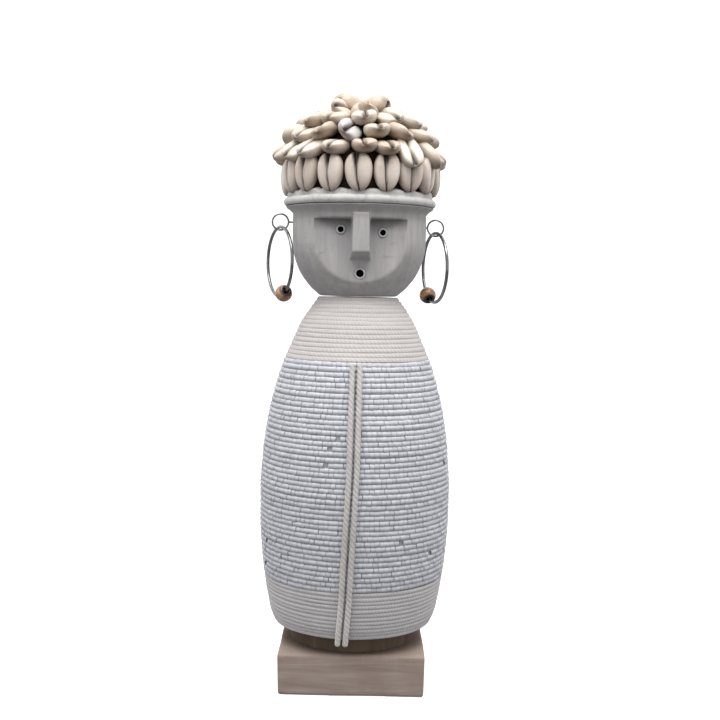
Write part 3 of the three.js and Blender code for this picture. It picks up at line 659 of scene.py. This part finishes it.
def face_cutter():
    """The block that takes the flat face off the bowl, its back side barely rounded."""
    edge = FACE_HALF_WIDTH * 1.3
    plan = [(-edge, -0.09), (edge, -0.09)]
    for step in range(33):
        x = edge - 2 * edge * step / 32
        fall = (FACE_FRONT - FACE_EDGE_FRONT) * (x / FACE_HALF_WIDTH) ** 2
        plan.append((x, -FACE_FRONT + fall))
    count = len(plan)
    low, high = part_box("head")[0][2], FACE_TOP
    corners = [(x, y, low) for x, y in plan] + [(x, y, high) for x, y in plan]
    faces = [list(range(count)), list(range(count, 2 * count))]
    faces += [(i, (i + 1) % count, count + (i + 1) % count, count + i) for i in range(count)]
    return solid_from(corners, faces, "face_cutter")


def nose_block():
    back = FACE_EDGE_FRONT - 3 * MM
    top, tip = NOSE["top_width"] / 2 * MM, NOSE["tip_width"] / 2 * MM
    flare, front = NOSE["flare"] * MM, NOSE["front"] * MM
    high, low, foot = NOSE["top"] * MM, NOSE["tip"] * MM, NOSE["foot"] * MM
    corners = [
        (-top, -front, high), (top, -front, high), (tip, -front, low), (-tip, -front, low),
        (-top - flare, -back, high), (top + flare, -back, high),
        (tip + flare, -back, foot), (-tip - flare, -back, foot),
    ]
    faces = [(0, 3, 2, 1), (4, 5, 6, 7), (0, 1, 5, 4), (1, 2, 6, 5), (2, 3, 7, 6), (3, 0, 4, 7)]
    return solid_from(corners, faces, "nose_block")


def drill(x, z, radius, front, back):
    """A round cutter along Y."""
    bpy.ops.mesh.primitive_cylinder_add(
        radius=radius, depth=back - front, vertices=40, location=(x, (front + back) / 2, z),
        rotation=(math.pi / 2, 0, 0),
    )
    cutter = bpy.context.object
    bpy.ops.object.transform_apply(location=True, rotation=True)
    return cutter


def boolean(piece, other, operation):
    modifier = piece.modifiers.new("cut", "BOOLEAN")
    modifier.operation = operation
    modifier.solver = "EXACT"
    modifier.object = other
    apply_modifiers(piece)
    bpy.data.objects.remove(other)


def apply_modifiers(piece):
    graph = bpy.context.evaluated_depsgraph_get()
    mesh = bpy.data.meshes.new_from_object(piece.evaluated_get(graph))
    piece.modifiers.clear()
    piece.data = mesh


def head_outline():
    """The bowl's outline from the CAD head's back, its curve softened and its lip kept crisp."""
    heights, radii = outline_of("head")
    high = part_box("head")[1].z
    bowl = (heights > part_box("yoke_winding")[1].z) & (heights < high - LIP_HEIGHT - 1 * MM)
    lip = heights > high - LIP_HEIGHT - 1 * MM
    bowl_heights, bowl_radii = smooth_curve(heights[bowl], radii[bowl], 3)
    outline = [(0.0, bowl_heights[0])] + list(zip(bowl_radii[::8], bowl_heights[::8]))
    return outline + list(zip(radii[lip], heights[lip])) + [(0.0, heights[-1])]


def round_over(piece, voxel, rounds):
    """Remakes a solid on a fine grid and smooths it."""
    remesh = piece.modifiers.new("remesh", "REMESH")
    remesh.mode = "VOXEL"
    remesh.voxel_size = voxel
    soften = piece.modifiers.new("soften", "SMOOTH")
    soften.factor = 0.5
    soften.iterations = rounds
    apply_modifiers(piece)


def carved_head(material, rings):
    """The bowl turned, cut and joined as the CAD head is, then softened as a carved edge is."""
    head = turned("head_carving", head_outline(), material, 256)
    boolean(head, face_cutter(), "DIFFERENCE")
    round_over(head, 0.6 * MM, 12)
    boolean(head, nose_block(), "UNION")
    round_over(head, 0.55 * MM, 4)
    for node, _ in rings:
        low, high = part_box(node)
        centre = (low + high) / 2
        drill_in = drill(centre.x, centre.z, (high.x - low.x) / 2 + 0.1 * MM, -0.06, high.y + 0.1 * MM)
        boolean(head, drill_in, "DIFFERENCE")
    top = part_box("head")[1].z
    # Painted shade: a band under the lip, and darkening under the brow over the recessed face.
    painted_shade = []
    for vertex in head.data.vertices:
        place = vertex.co
        under_lip = 1 - abs(place.z - (top - LIP_HEIGHT - 1.5 * MM)) / (3.2 * MM)
        under_brow = 1 - (FACE_TOP - place.z) / (7 * MM) if place.z < FACE_TOP and place.y < -25 * MM else 0.0
        recessed = place.y > -FACE_FRONT - 0.8 * MM and abs(place.x) < FACE_HALF_WIDTH
        painted_shade.append(max(0.2 * under_lip, 0.75 * under_brow if recessed else 0.0, 0.0))
    paint(head.data, "painted_shade", painted_shade)
    finish_carving(head, material)
    return head


def face_ring(name, node, hole, materials):
    """A ring bead let into the face, its hole filled by a near-black plug as painted shadow."""
    low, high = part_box(node)
    centre = (low + high) / 2
    outer, half = (high.x - low.x) / 2, (high.y - low.y) / 2
    outline = []
    for angle in np.linspace(0, 2 * math.pi, 28, endpoint=False):
        across, along = math.cos(angle), math.sin(angle)
        square = (abs(across) ** 3 + abs(along) ** 3) ** (-1 / 3)
        outline.append(((outer + hole) / 2 + (outer - hole) / 2 * across * square, half * along * square))
    ring = turned(name, outline, materials, 48)
    plug_radius, plug_low, plug_high = hole * 1.05, -0.4 * half, half * 0.25
    plug_outline = [(0.0, plug_low), (plug_radius, plug_low), (plug_radius, plug_high), (0.0, plug_high)]
    shadow_plug = turned(name + "_dark", plug_outline, materials[1], 32)
    for piece in (ring, shadow_plug):
        piece.data.transform(Matrix.Translation(centre) @ Matrix.Rotation(math.pi / 2, 4, "X"))
    return ring, shadow_plug


# ---- Rim ----
ROLL_HEIGHT = 4.5 * MM
ROLL_BULGE = 1.8 * MM
RIM_DEPTH = 5.7 * MM  # from the roll's outside to the rim's inside
SCALLOPS = 26


def rim(material):
    """The rolled rim, and over it the band with its lumpy, scalloped edge."""
    low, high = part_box("rim_band")
    roll_high = low.z + ROLL_HEIGHT
    outer = (high.x - low.x) / 2
    outline = [(outer - RIM_DEPTH, low.z), (outer - 2 * MM, low.z)]
    for step in range(15):
        angle = -math.pi / 2 + math.pi * step / 14
        out = outer - ROLL_BULGE * (1 - math.cos(angle))
        outline.append((out, low.z + ROLL_HEIGHT / 2 * (1 + math.sin(angle))))
    outline += [(outer - 2.2 * MM, roll_high + 0.1 * MM), (outer - 2.1 * MM, roll_high + 0.9 * MM)]
    outline += [(outer - 1.9 * MM, roll_high + 1.8 * MM), (outer - 2.4 * MM, roll_high + 2.6 * MM)]
    outline += [(outer - 4.8 * MM, high.z - 1.2 * MM), (outer - RIM_DEPTH, high.z - 1.2 * MM)]
    band = turned("rim_roll", outline, material, 440, 0.12 * MM)
    for vertex in band.data.vertices:
        share = (vertex.co.z - roll_high - 0.3 * MM) / (2 * MM)
        if share > 0:
            angle = math.atan2(vertex.co.y, vertex.co.x)
            lump = abs(math.sin(SCALLOPS / 2 * angle + 0.9 * math.sin(3 * angle))) ** 0.7
            lump *= 0.8 + 0.35 * math.sin(7 * angle + 1) * math.sin(4 * angle)
            vertex.co.z += min(1.0, share) * (1.5 * lump - 0.5) * MM
            vertex.co.x *= 1 + min(1.0, share) * 0.016 * (lump - 0.5)
            vertex.co.y *= 1 + min(1.0, share) * 0.016 * (lump - 0.5)
    return band


# ---- Cowries ----
def cowrie_mesh(name, size, along, slit_side, centre, look):
    """A cowrie with two lips, a toothed slit and a domed back, placed by its long axis and slit side."""
    length, width, height = size
    stations, sides = 44, 36
    s = -np.cos(np.linspace(0.04, math.pi - 0.04, stations))
    turn = np.linspace(0, 2 * math.pi, sides, endpoint=False)
    turn = turn - 0.5 * np.sin(turn)
    share, around = np.meshgrid(s, turn, indexing="ij")
    swell = np.clip(1 - np.abs(share) ** look["blunt"], 0, 1) ** 0.5
    half_width = width / 2 * swell * (1 + 0.10 * share)
    y = half_width * np.sign(np.sin(around)) * np.abs(np.sin(around)) ** 0.85
    up = np.cos(around)
    top = 0.42 * height * swell * np.abs(up) ** 0.62
    bottom = -0.58 * height * swell * np.abs(up) ** 0.9
    z = np.where(up > 0, top, bottom)
    middle = width * (0.09 - 0.13 * np.clip(-share, 0, 1) ** 1.5) * look["lean"]
    gap = width * (0.028 + look["opening"] * np.clip(share + 0.05, 0, 1) ** 1.4)
    facing = np.clip((up + 0.15) * 4, 0, 1)
    near = np.exp(-((y - middle) / gap) ** 2) * facing
    rolled = np.exp(-((y - middle) / (0.20 * width)) ** 2) * facing
    x = share * length / 2 - length * look["notch"] * near * np.clip(share - 0.5, 0, 0.5) * 2
    z = z - 0.36 * height * near * swell ** 0.6 - 0.10 * height * rolled * swell
    end_fade = np.clip((1 - np.abs(share)) * 14, 0, 1)
    teeth = np.exp(-((np.abs(y - middle) - 0.09 * width) / (0.07 * width)) ** 2) * facing
    z = z + 0.016 * height * teeth * np.cos(2 * math.pi * x / (1.5 * MM)) * end_fade
    across = slit_side.cross(along).normalized()
    basis = np.array([along, across, slit_side])
    corners = np.stack([x, y, z], -1).reshape(-1, 3) @ basis + np.array(centre)
    tips = np.array([[-0.5 * length, 0, 0], [(0.5 - look["notch"]) * length, 0, 0]])
    tips = tips @ basis + np.array(centre)
    # Painted shade: darker on the underside, on the part hidden under other shells, on the part shaded by the
    # tier above, beside the slit and at the ends and edges where shells meet.
    shell_painted_shade = look["under"] * np.clip(-up, 0, 1) + 0.5 * np.abs(share) ** 7
    shell_painted_shade = shell_painted_shade + look["hidden"] * np.clip(-share - 0.1, 0, 1)
    shell_painted_shade = shell_painted_shade + look["shaded"] * np.clip(share - 0.35, 0, 1) + 0.22 * rolled
    shell_painted_shade = shell_painted_shade + 0.9 * np.clip(np.abs(y) / (half_width + 1e-6) - 0.8, 0, 1)
    # The slit's painted shadow: near black down in the groove.
    slit = np.clip(near * 1.5, 0, 1) * np.clip(swell * 2.2, 0, 1)
    tone, bleach = np.full(share.shape, look["tone"]), np.full(share.shape, look["bleach"])
    colours = np.stack([tone, np.clip(shell_painted_shade, 0, 0.9), slit, bleach], -1).reshape(-1, 4)
    faces = grid_faces(stations, sides)
    count = stations * sides
    caps = []
    for side in range(0, sides, 2):
        caps.append((count, side, (side + 1) % sides, (side + 2) % sides))
        last = (stations - 1) * sides
        caps.append((count + 1, last + (side + 2) % sides, last + (side + 1) % sides, last + side))
    mesh = mesh_of(name, np.concatenate([corners, tips]), np.concatenate([faces, np.array(caps)]))
    # The tips get the same painted shade, and the notched tip half the slit's painted shadow.
    ends = [[look["tone"], 0.6, 0.0, look["bleach"]], [look["tone"], 0.6, 0.5, look["bleach"]]]
    paint(mesh, "shell", np.concatenate([colours, ends]))
    return mesh


def shell_look(**changes):
    """How one cowrie looks: shares that shape its ends and slit, and that tint it."""
    look = {
        "lean": rng.choice((-1, 1)) * rng.uniform(0.3, 1.0),
        "opening": rng.uniform(0.05, 0.085),
        "notch": rng.uniform(0.02, 0.055),
        "tone": rng.uniform(0, 1),
        "blunt": 2.7, "hidden": 0.6, "shaded": 0.0, "bleach": 0.0, "under": 0.5,
    }
    return {**look, **changes}


def outward(angle):
    """Direction away from the axis, measured from straight ahead towards the viewer's right."""
    return Vector((math.sin(angle), -math.cos(angle), 0))


def side_droop(angle, front, side):
    """Droop in degrees of a shell at an angle from straight ahead, more at the sides than in front."""
    return front + (side - front) * abs(math.sin(angle)) ** 1.4


def shell_in_tier(name, angle, outer, height, droop, look):
    """A lying shell, slit up and slightly out of line; its middle is as high as its CAD tier's."""
    angle += math.radians(rng.uniform(-3.5, 3.5))
    droop = math.radians(droop + rng.uniform(-6, 6))
    out = outward(angle)
    side = Vector((-out.y, out.x, 0))
    along = out * math.cos(droop) - UP * math.sin(droop)
    along = (Matrix.Rotation(math.radians(rng.uniform(-11, 11)), 3, "Z") @ along).normalized()
    slit = along.cross(side).normalized()
    if slit.z < 0:
        slit = -slit
    roll = math.radians(rng.choice((10, 20, 35, 60)) * rng.uniform(-1, 1))
    slit = (Matrix.Rotation(roll, 3, along) @ slit).normalized()
    size = [value * rng.uniform(0.94, 1.07) for value in LYING]
    middle = out * (outer - size[0] / 2 * math.cos(droop) + rng.uniform(-1.0, 0.8) * MM)
    centre = middle + UP * (height + rng.uniform(-0.6, 0.6) * MM)
    return cowrie_mesh(name, size, along, slit, centre, look)


def joined(name, meshes, material):
    """Several meshes as one piece."""
    pieces = [link(mesh, name + "_part", material) for mesh in meshes]
    bpy.ops.object.select_all(action="DESELECT")
    for piece in pieces:
        piece.select_set(True)
    bpy.context.view_layer.objects.active = pieces[0]
    bpy.ops.object.join()
    pieces[0].name = name
    return pieces[0]


TIERS = {  # the CAD's strung tiers: count, offset, droop in front and at the sides
    "shells_tier_3": (15, 12, 8, 20),
    "shells_tier_4": (12, 0, 6, 14),
    "shells_tier_5": (7, 12, -14, -4),
}
BLEACHED = ("shells_tier_3", 14)  # the one greyish white shell, left of the middle
LYING_DROOP = (12, 31)
HANGING = {2: 54, 3: 40}  # the lying shells at the front right that droop further, and by how many degrees
LYING_SETTLE = 1.8 * MM  # the lying shells rest between the tips of the upright ones
CROWN = [(218, 9.5, 333.4, 18), (-38, 9.5, 332.6, 20), (272, 14.0, 327.6, -10)]  # turn, out, height, tilt
LYING = (22.0 * MM, 13.8 * MM, 9.0 * MM)
UPRIGHT = (22.8 * MM, 15.4 * MM, 9.4 * MM)
TOPMOST = (20.0 * MM, 15.0 * MM, 12.0 * MM)
UPRIGHT_COUNT = 17
UPRIGHT_TURN = -3
LYING_COUNT = 18


def upright_shells(material):
    rim_low, rim_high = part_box("rim_band")
    rim_radius = (rim_high.x - rim_low.x) / 2
    for index in range(UPRIGHT_COUNT):
        node = f"shell_upright_{index + 1}"
        low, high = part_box(node)
        angle = math.radians(360 * index / UPRIGHT_COUNT + UPRIGHT_TURN + rng.uniform(-1.0, 1.0))
        out = outward(angle)
        lean = math.radians(rng.uniform(-5, 5))
        along = (UP * math.cos(lean) + Vector((-out.y, out.x, 0)) * math.sin(lean)).normalized()
        slit = (Matrix.Rotation(math.radians(rng.uniform(-12, 12)), 3, "Z") @ out).normalized()
        slit = (slit - along * slit.dot(along)).normalized()
        radius = rim_radius - 1.5 * MM + rng.uniform(-0.3, 0.3) * MM
        centre = out * radius + UP * ((low.z + high.z) / 2 + rng.uniform(-0.5, 0.5) * MM)
        size = [value * rng.uniform(0.96, 1.03) for value in UPRIGHT]
        look = shell_look(lean=rng.uniform(0.6, 1.1), blunt=2.3, opening=rng.uniform(0.07, 0.11), notch=0.0,
                          hidden=0.1, shaded=0.9, tone=rng.uniform(0, 0.8))
        mesh = cowrie_mesh(f"cowrie_upright_{index + 1}", size, along, slit, centre, look)
        keep(link(mesh, mesh.name, material), "doll", node)


def lying_shells(material):
    highs = [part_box(f"shell_lying_{index + 1}") for index in range(LYING_COUNT)]
    outer = max(high.x for _, high in highs)
    for index, (low, high) in enumerate(highs):
        angle = 2 * math.pi * index / LYING_COUNT
        droop = HANGING.get(index, side_droop(angle, *LYING_DROOP))
        height = (low.z + high.z) / 2 - LYING_SETTLE * (2.2 if index in HANGING else 1.0)
        mesh = shell_in_tier(f"cowrie_lying_{index + 1}", angle, outer, height, droop, shell_look())
        keep(link(mesh, mesh.name, material), "doll", f"shell_lying_{index + 1}")


def strung_tiers(material):
    for node, (count, offset, front_droop, side_most) in TIERS.items():
        low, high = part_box(node)
        outer = (high.x - low.x) / 2
        meshes = []
        for index in range(count):
            angle = 2 * math.pi * index / count + math.radians(offset)
            look = shell_look(bleach=0.85 if (node, index) == BLEACHED else 0.0)
            droop = side_droop(angle, front_droop, side_most)
            meshes.append(shell_in_tier("cowrie", angle, outer, (low.z + high.z) / 2, droop, look))
        piece = joined(node.replace("shells", "cowries"), meshes, material)
        keep(piece, "doll", node)


def crown_shells(material):
    meshes = []
    for turn, out_by, height, tilt in CROWN:
        away = Vector((math.cos(math.radians(turn)), math.sin(math.radians(turn)), 0))
        lean = math.radians(tilt)
        along = away * math.cos(lean) + UP * math.sin(lean)
        back_up = (away * math.sin(lean) - UP * math.cos(lean)).normalized()
        centre = away * out_by * MM + UP * height * MM
        look = shell_look(tone=1.0, hidden=0.0, under=0.0)
        meshes.append(cowrie_mesh("cowrie", TOPMOST, along, back_up, centre, look))
    piece = joined("cowries_crown", meshes, material)
    keep(piece, "doll", "shells_top")


# ---- Earrings ----
PIN_LOOP = 4.75 * MM
PIN_WIRE = 0.55 * MM
HOOP_RADIUS = 20.5 * MM
HOOP_WIRE = 1.0 * MM
BEAD_RADIUS = 5.0 * MM
BEAD_HALF = 4.2 * MM  # half its length
BEAD_BORE = 1.65 * MM


def wire_ring(name, centre, axis, ring_radius, wire_radius, material, steps=128, sides=16):
    around = np.linspace(0, 2 * math.pi, steps, endpoint=False)
    section = np.linspace(0, 2 * math.pi, sides, endpoint=False)
    big, small = np.meshgrid(around, section, indexing="ij")
    reach = ring_radius + wire_radius * np.cos(small)
    local = np.stack([reach * np.cos(big), reach * np.sin(big), wire_radius * np.sin(small)], -1)
    turn = np.array(axis.to_track_quat("Z", "X").to_matrix())
    corners = local.reshape(-1, 3) @ turn.T + np.array(centre)
    mesh = mesh_of(name, corners, grid_faces(steps, sides, closed_rows=True))
    return link(tidy(mesh), name, material)


def joint_named(name):
    return next(joint for joint in frame["joints"] if joint["name"] == name)


def earring(side, material, bead_mat):
    """Eye pin, hoop and bead on one side, placed by the CAD's boxes and joint axes."""
    pin_low, pin_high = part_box(f"eye_pin_{side}")
    outer_x = pin_low.x if side == "left" else pin_high.x
    sign = -1 if side == "left" else 1
    loop_centre = Vector((outer_x - sign * (PIN_LOOP + PIN_WIRE), 0, (pin_low.z + pin_high.z) / 2))
    loop = wire_ring(f"pin_loop_{side}", loop_centre, Vector((0, 1, 0)), PIN_LOOP, PIN_WIRE, material, 72, 12)
    shank_end = pin_high.x if side == "left" else pin_low.x
    shank_start = loop_centre.x - sign * PIN_LOOP
    length = abs(shank_end - shank_start)
    outline = [(0.0, 0.0), (PIN_WIRE, 0.0), (PIN_WIRE, length), (0.0, length)]
    shank = turned(f"pin_shank_{side}", outline, material, 16)
    spin = Matrix.Rotation(math.pi / 2 * (1 if side == "left" else -1), 4, "Y")
    shank.data.transform(Matrix.Translation((shank_start, 0, loop_centre.z)) @ spin)
    pin = joined(f"eye_pin_wire_{side}", [loop.data, shank.data], material)
    for spare in (loop, shank):
        bpy.data.objects.remove(spare)
    keep(pin, "doll", f"eye_pin_{side}")

    slide = joint_named(f"bead_{side}_slide")
    axis = Vector(slide["axis"])
    centre = Vector(slide["pos_m"])
    hoop = wire_ring(f"hoop_wire_{side}", centre, axis, HOOP_RADIUS, HOOP_WIRE, material)
    keep(hoop, f"{side}_hoop", f"hoop_{side}")

    bead_low, bead_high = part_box(f"hoop_bead_{side}")
    bead_centre = (bead_low + bead_high) / 2
    outwards = (bead_centre - centre).normalized()
    along = axis.cross(outwards).normalized()
    outside = []
    for angle in np.linspace(-0.5 * math.pi, 0.5 * math.pi, 25):
        height = BEAD_RADIUS * math.sin(angle)
        if abs(height) <= BEAD_HALF:
            outside.append((BEAD_RADIUS * math.cos(angle), height))
    mouth = [(BEAD_BORE + 0.6 * MM, BEAD_HALF), (BEAD_BORE + 0.15 * MM, BEAD_HALF - 0.3 * MM)]
    mouth.append((BEAD_BORE, BEAD_HALF - 0.9 * MM))
    outline = [(radius, -height) for radius, height in mouth[::-1]] + outside + mouth
    bead = turned(f"bead_turned_{side}", outline, bead_mat, 48)
    heights = np.array([math.hypot(v.co.x, v.co.y) for v in bead.data.vertices])
    paint(bead.data, "ends", np.clip((4.0 * MM - heights) / (1.0 * MM), 0, 1))
    bead.data.transform(Matrix.Translation(bead_centre) @ along.to_track_quat("Z", "X").to_matrix().to_4x4())
    keep(bead, f"{side}_bead", f"hoop_bead_{side}")


# ---- Camera, lights and floor ----
CAMERA_AZIMUTH = math.radians(-1.4)
CAMERA_DISTANCE = 0.652
CAMERA_HEIGHT = 0.2297
CAMERA_ROLL = math.radians(1.05)
CAMERA_SHIFT_X = 0.0022  # the framing, as shares of the picture's width
CAMERA_SHIFT_Y = -0.1069


def set_camera():
    """A level camera at the photograph's eye height, its frame shifted down over the doll."""
    camera = bpy.data.objects.new("camera", bpy.data.cameras.new("camera"))
    bpy.context.scene.collection.objects.link(camera)
    right = Vector((math.cos(CAMERA_AZIMUTH), math.sin(CAMERA_AZIMUTH), 0))
    back = Vector((math.sin(CAMERA_AZIMUTH), -math.cos(CAMERA_AZIMUTH), 0))
    camera.location = back * CAMERA_DISTANCE + UP * CAMERA_HEIGHT
    rolled_side = right * math.cos(CAMERA_ROLL) + UP * math.sin(CAMERA_ROLL)
    rolled_top = UP * math.cos(CAMERA_ROLL) - right * math.sin(CAMERA_ROLL)
    camera.rotation_mode = "QUATERNION"
    camera.rotation_quaternion = Matrix((rolled_side, rolled_top, back)).transposed().to_quaternion()
    camera.data.lens = 55.0
    camera.data.sensor_width = 36.0
    camera.data.shift_x = CAMERA_SHIFT_X
    camera.data.shift_y = CAMERA_SHIFT_Y
    camera.data.clip_start = 0.01
    camera.data.clip_end = 20.0
    bpy.context.scene.camera = camera


def area_light(name, place, target, size, power):
    light = bpy.data.lights.new(name, "AREA")
    light.shape = "RECTANGLE"
    light.size, light.size_y = size
    light.energy = power
    holder = bpy.data.objects.new(name, light)
    holder.location = place
    holder.rotation_euler = (Vector(target) - Vector(place)).to_track_quat("-Z", "Y").to_euler()
    bpy.context.scene.collection.objects.link(holder)


WORLD_BY_HEIGHT = ((0.0, 0.26), (0.44, 0.44), (0.485, 1.0), (1.0, 0.9))  # straight down is 0, up is 1
WORLD_BY_DEPTH = ((0.0, 0.62), (0.3, 0.68), (0.52, 1.0), (0.7, 1.0))  # behind the camera is 0
WORLD_STRENGTH = 1.36


def world_ramp(tree, direction, stops):
    """Brightness that follows one axis of the direction looked in."""
    level = tree.nodes.new("ShaderNodeMapRange")
    level.inputs["From Min"].default_value = -1.0
    tree.links.new(direction, level.inputs["Value"])
    ramp = tree.nodes.new("ShaderNodeValToRGB")
    tree.links.new(level.outputs["Result"], ramp.inputs["Fac"])
    fill_ramp(ramp, [(position, (grey, grey, grey)) for position, grey in stops])
    return ramp.outputs["Color"]


def set_light():
    """A white studio: dark below the horizon, and a little dimmer behind the camera than beside the doll."""
    world = bpy.data.worlds.new("studio")
    bpy.context.scene.world = world
    world.use_nodes = True
    tree = world.node_tree
    place = tree.nodes.new("ShaderNodeTexCoord").outputs["Generated"]
    split = tree.nodes.new("ShaderNodeSeparateXYZ")
    tree.links.new(place, split.inputs[0])
    by_height = world_ramp(tree, split.outputs["Z"], WORLD_BY_HEIGHT)
    by_depth = world_ramp(tree, split.outputs["Y"], WORLD_BY_DEPTH)
    product = tree.nodes.new("ShaderNodeMath")
    product.operation = "MULTIPLY"
    tree.links.new(by_height, product.inputs[0])
    tree.links.new(by_depth, product.inputs[1])
    background = tree.nodes["Background"]
    tree.links.new(product.outputs[0], background.inputs["Color"])
    background.inputs["Strength"].default_value = WORLD_STRENGTH
    area_light("top_softbox", (0.0, -0.30, 0.85), (0, 0, 0.18), (0.7, 0.5), 7.0)


def set_floor():
    n = Nodes("pale_floor")
    clouds = n.noise(6.0, 2, 0.5)
    material = n.finish(n.ramp(clouds, [(0.3, (0.9, 0.9, 0.9)), (0.7, (0.92, 0.92, 0.92))]), 0.9,
                        Specular_IOR_Level=0.0)
    n.set(n.shader.inputs["Emission Color"], (1, 1, 1, 1))
    n.set(n.shader.inputs["Emission Strength"], 0.55)
    size = 6.0
    corners = [(-size, -size, 0), (size, -size, 0), (size, size, 0), (-size, size, 0)]
    floor = link(mesh_of("floor", corners, [(0, 1, 2, 3)]), "floor", material, False)
    floor.visible_diffuse = False
    floor.visible_glossy = False


# ---- The whole ----
def build():
    set_camera()
    set_light()
    set_floor()
    bpy.context.scene.view_settings.view_transform = "Standard"

    glass = bead_material("white_seed_beads", shade(193, 194, 200), shade(173, 174, 180))
    hem_cotton = cord_material("hem_cotton", shade(198, 195, 197), shade(162, 158, 160))
    yoke_cotton = cord_material("yoke_cotton", shade(189, 184, 182), shade(164, 159, 157))
    front_cotton = cord_material("front_cotton", shade(226, 222, 219), shade(132, 128, 126), 2.0)
    cloth = backing_cloth()
    rings = (ring_material(), hole_shadow())
    wire = steel()
    brown = bead_wood()
    pale = shell_material("upright_cowrie", shade(224, 214, 205), shade(186, 171, 158), shade(96, 76, 60))
    cream = shell_material("lying_cowrie", shade(220, 210, 198), shade(190, 174, 156), shade(98, 76, 56))

    frame["nodes"]["body_core"].data.materials[0] = core_wood()
    frame["nodes"]["cap_form"].data.materials[0] = cap_material()

    hem_low, hem_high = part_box("hem_winding")
    bead_low, bead_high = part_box("bead_winding")
    yoke_low, yoke_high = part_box("yoke_winding")

    base = worn_base(base_wood())
    keep(base, "doll", "base_block")

    hem = cord_rows("hem_cord_rows", hem_low.z, hem_high.z, HEM_PITCH, hem_cotton, 0.5, 170, 1)
    keep(hem, "doll", "hem_winding")

    edges = np.linspace(bead_low.z, bead_high.z, BEAD_PIECES + 1)
    for band in range(BEAD_PIECES):
        piece = bead_rows(f"main_beads_{band + 1}", edges[band], edges[band + 1], glass)
        keep(piece, "doll", "bead_winding")

    yoke = cord_rows("yoke_cord_rows", yoke_low.z, yoke_high.z, YOKE_PITCH, yoke_cotton, 0.36, 100)
    keep(yoke, "doll", "yoke_winding")

    heights = np.linspace(bead_low.z, bead_high.z, 60)
    backing_outline = [(radius_at(h) - BACKING_DEPTH, h) for h in heights]
    backing_outline += [(radius_at(h) - SLEEVE_DEPTH, h) for h in heights[::-1]]
    backing = turned("winding_backing", backing_outline, cloth, 120)
    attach(backing, "doll")

    for side in ("left", "right"):
        cord = twisted_cord(f"laid_cord_{side}", f"cord_{side}", front_cotton)
        keep(cord, "doll", f"cord_{side}")

    ring_nodes = (("eye_bead_left", 1.6), ("eye_bead_right", 1.6), ("mouth_bead", 2.1))
    head = carved_head(whitewash(), ring_nodes)
    keep(head, "doll", "head")
    for node, hole in ring_nodes:
        ring, shadow_plug = face_ring(node.replace("bead", "ring"), node, hole * MM, rings)
        for piece in (ring, shadow_plug):
            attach(piece, "doll")
        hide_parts(node)

    band = rim(rim_material())
    keep(band, "doll", "rim_band")

    upright_shells(pale)
    lying_shells(cream)
    strung_tiers(cream)
    crown_shells(cream)

    for side in ("left", "right"):
        earring(side, wire, brown)


build()
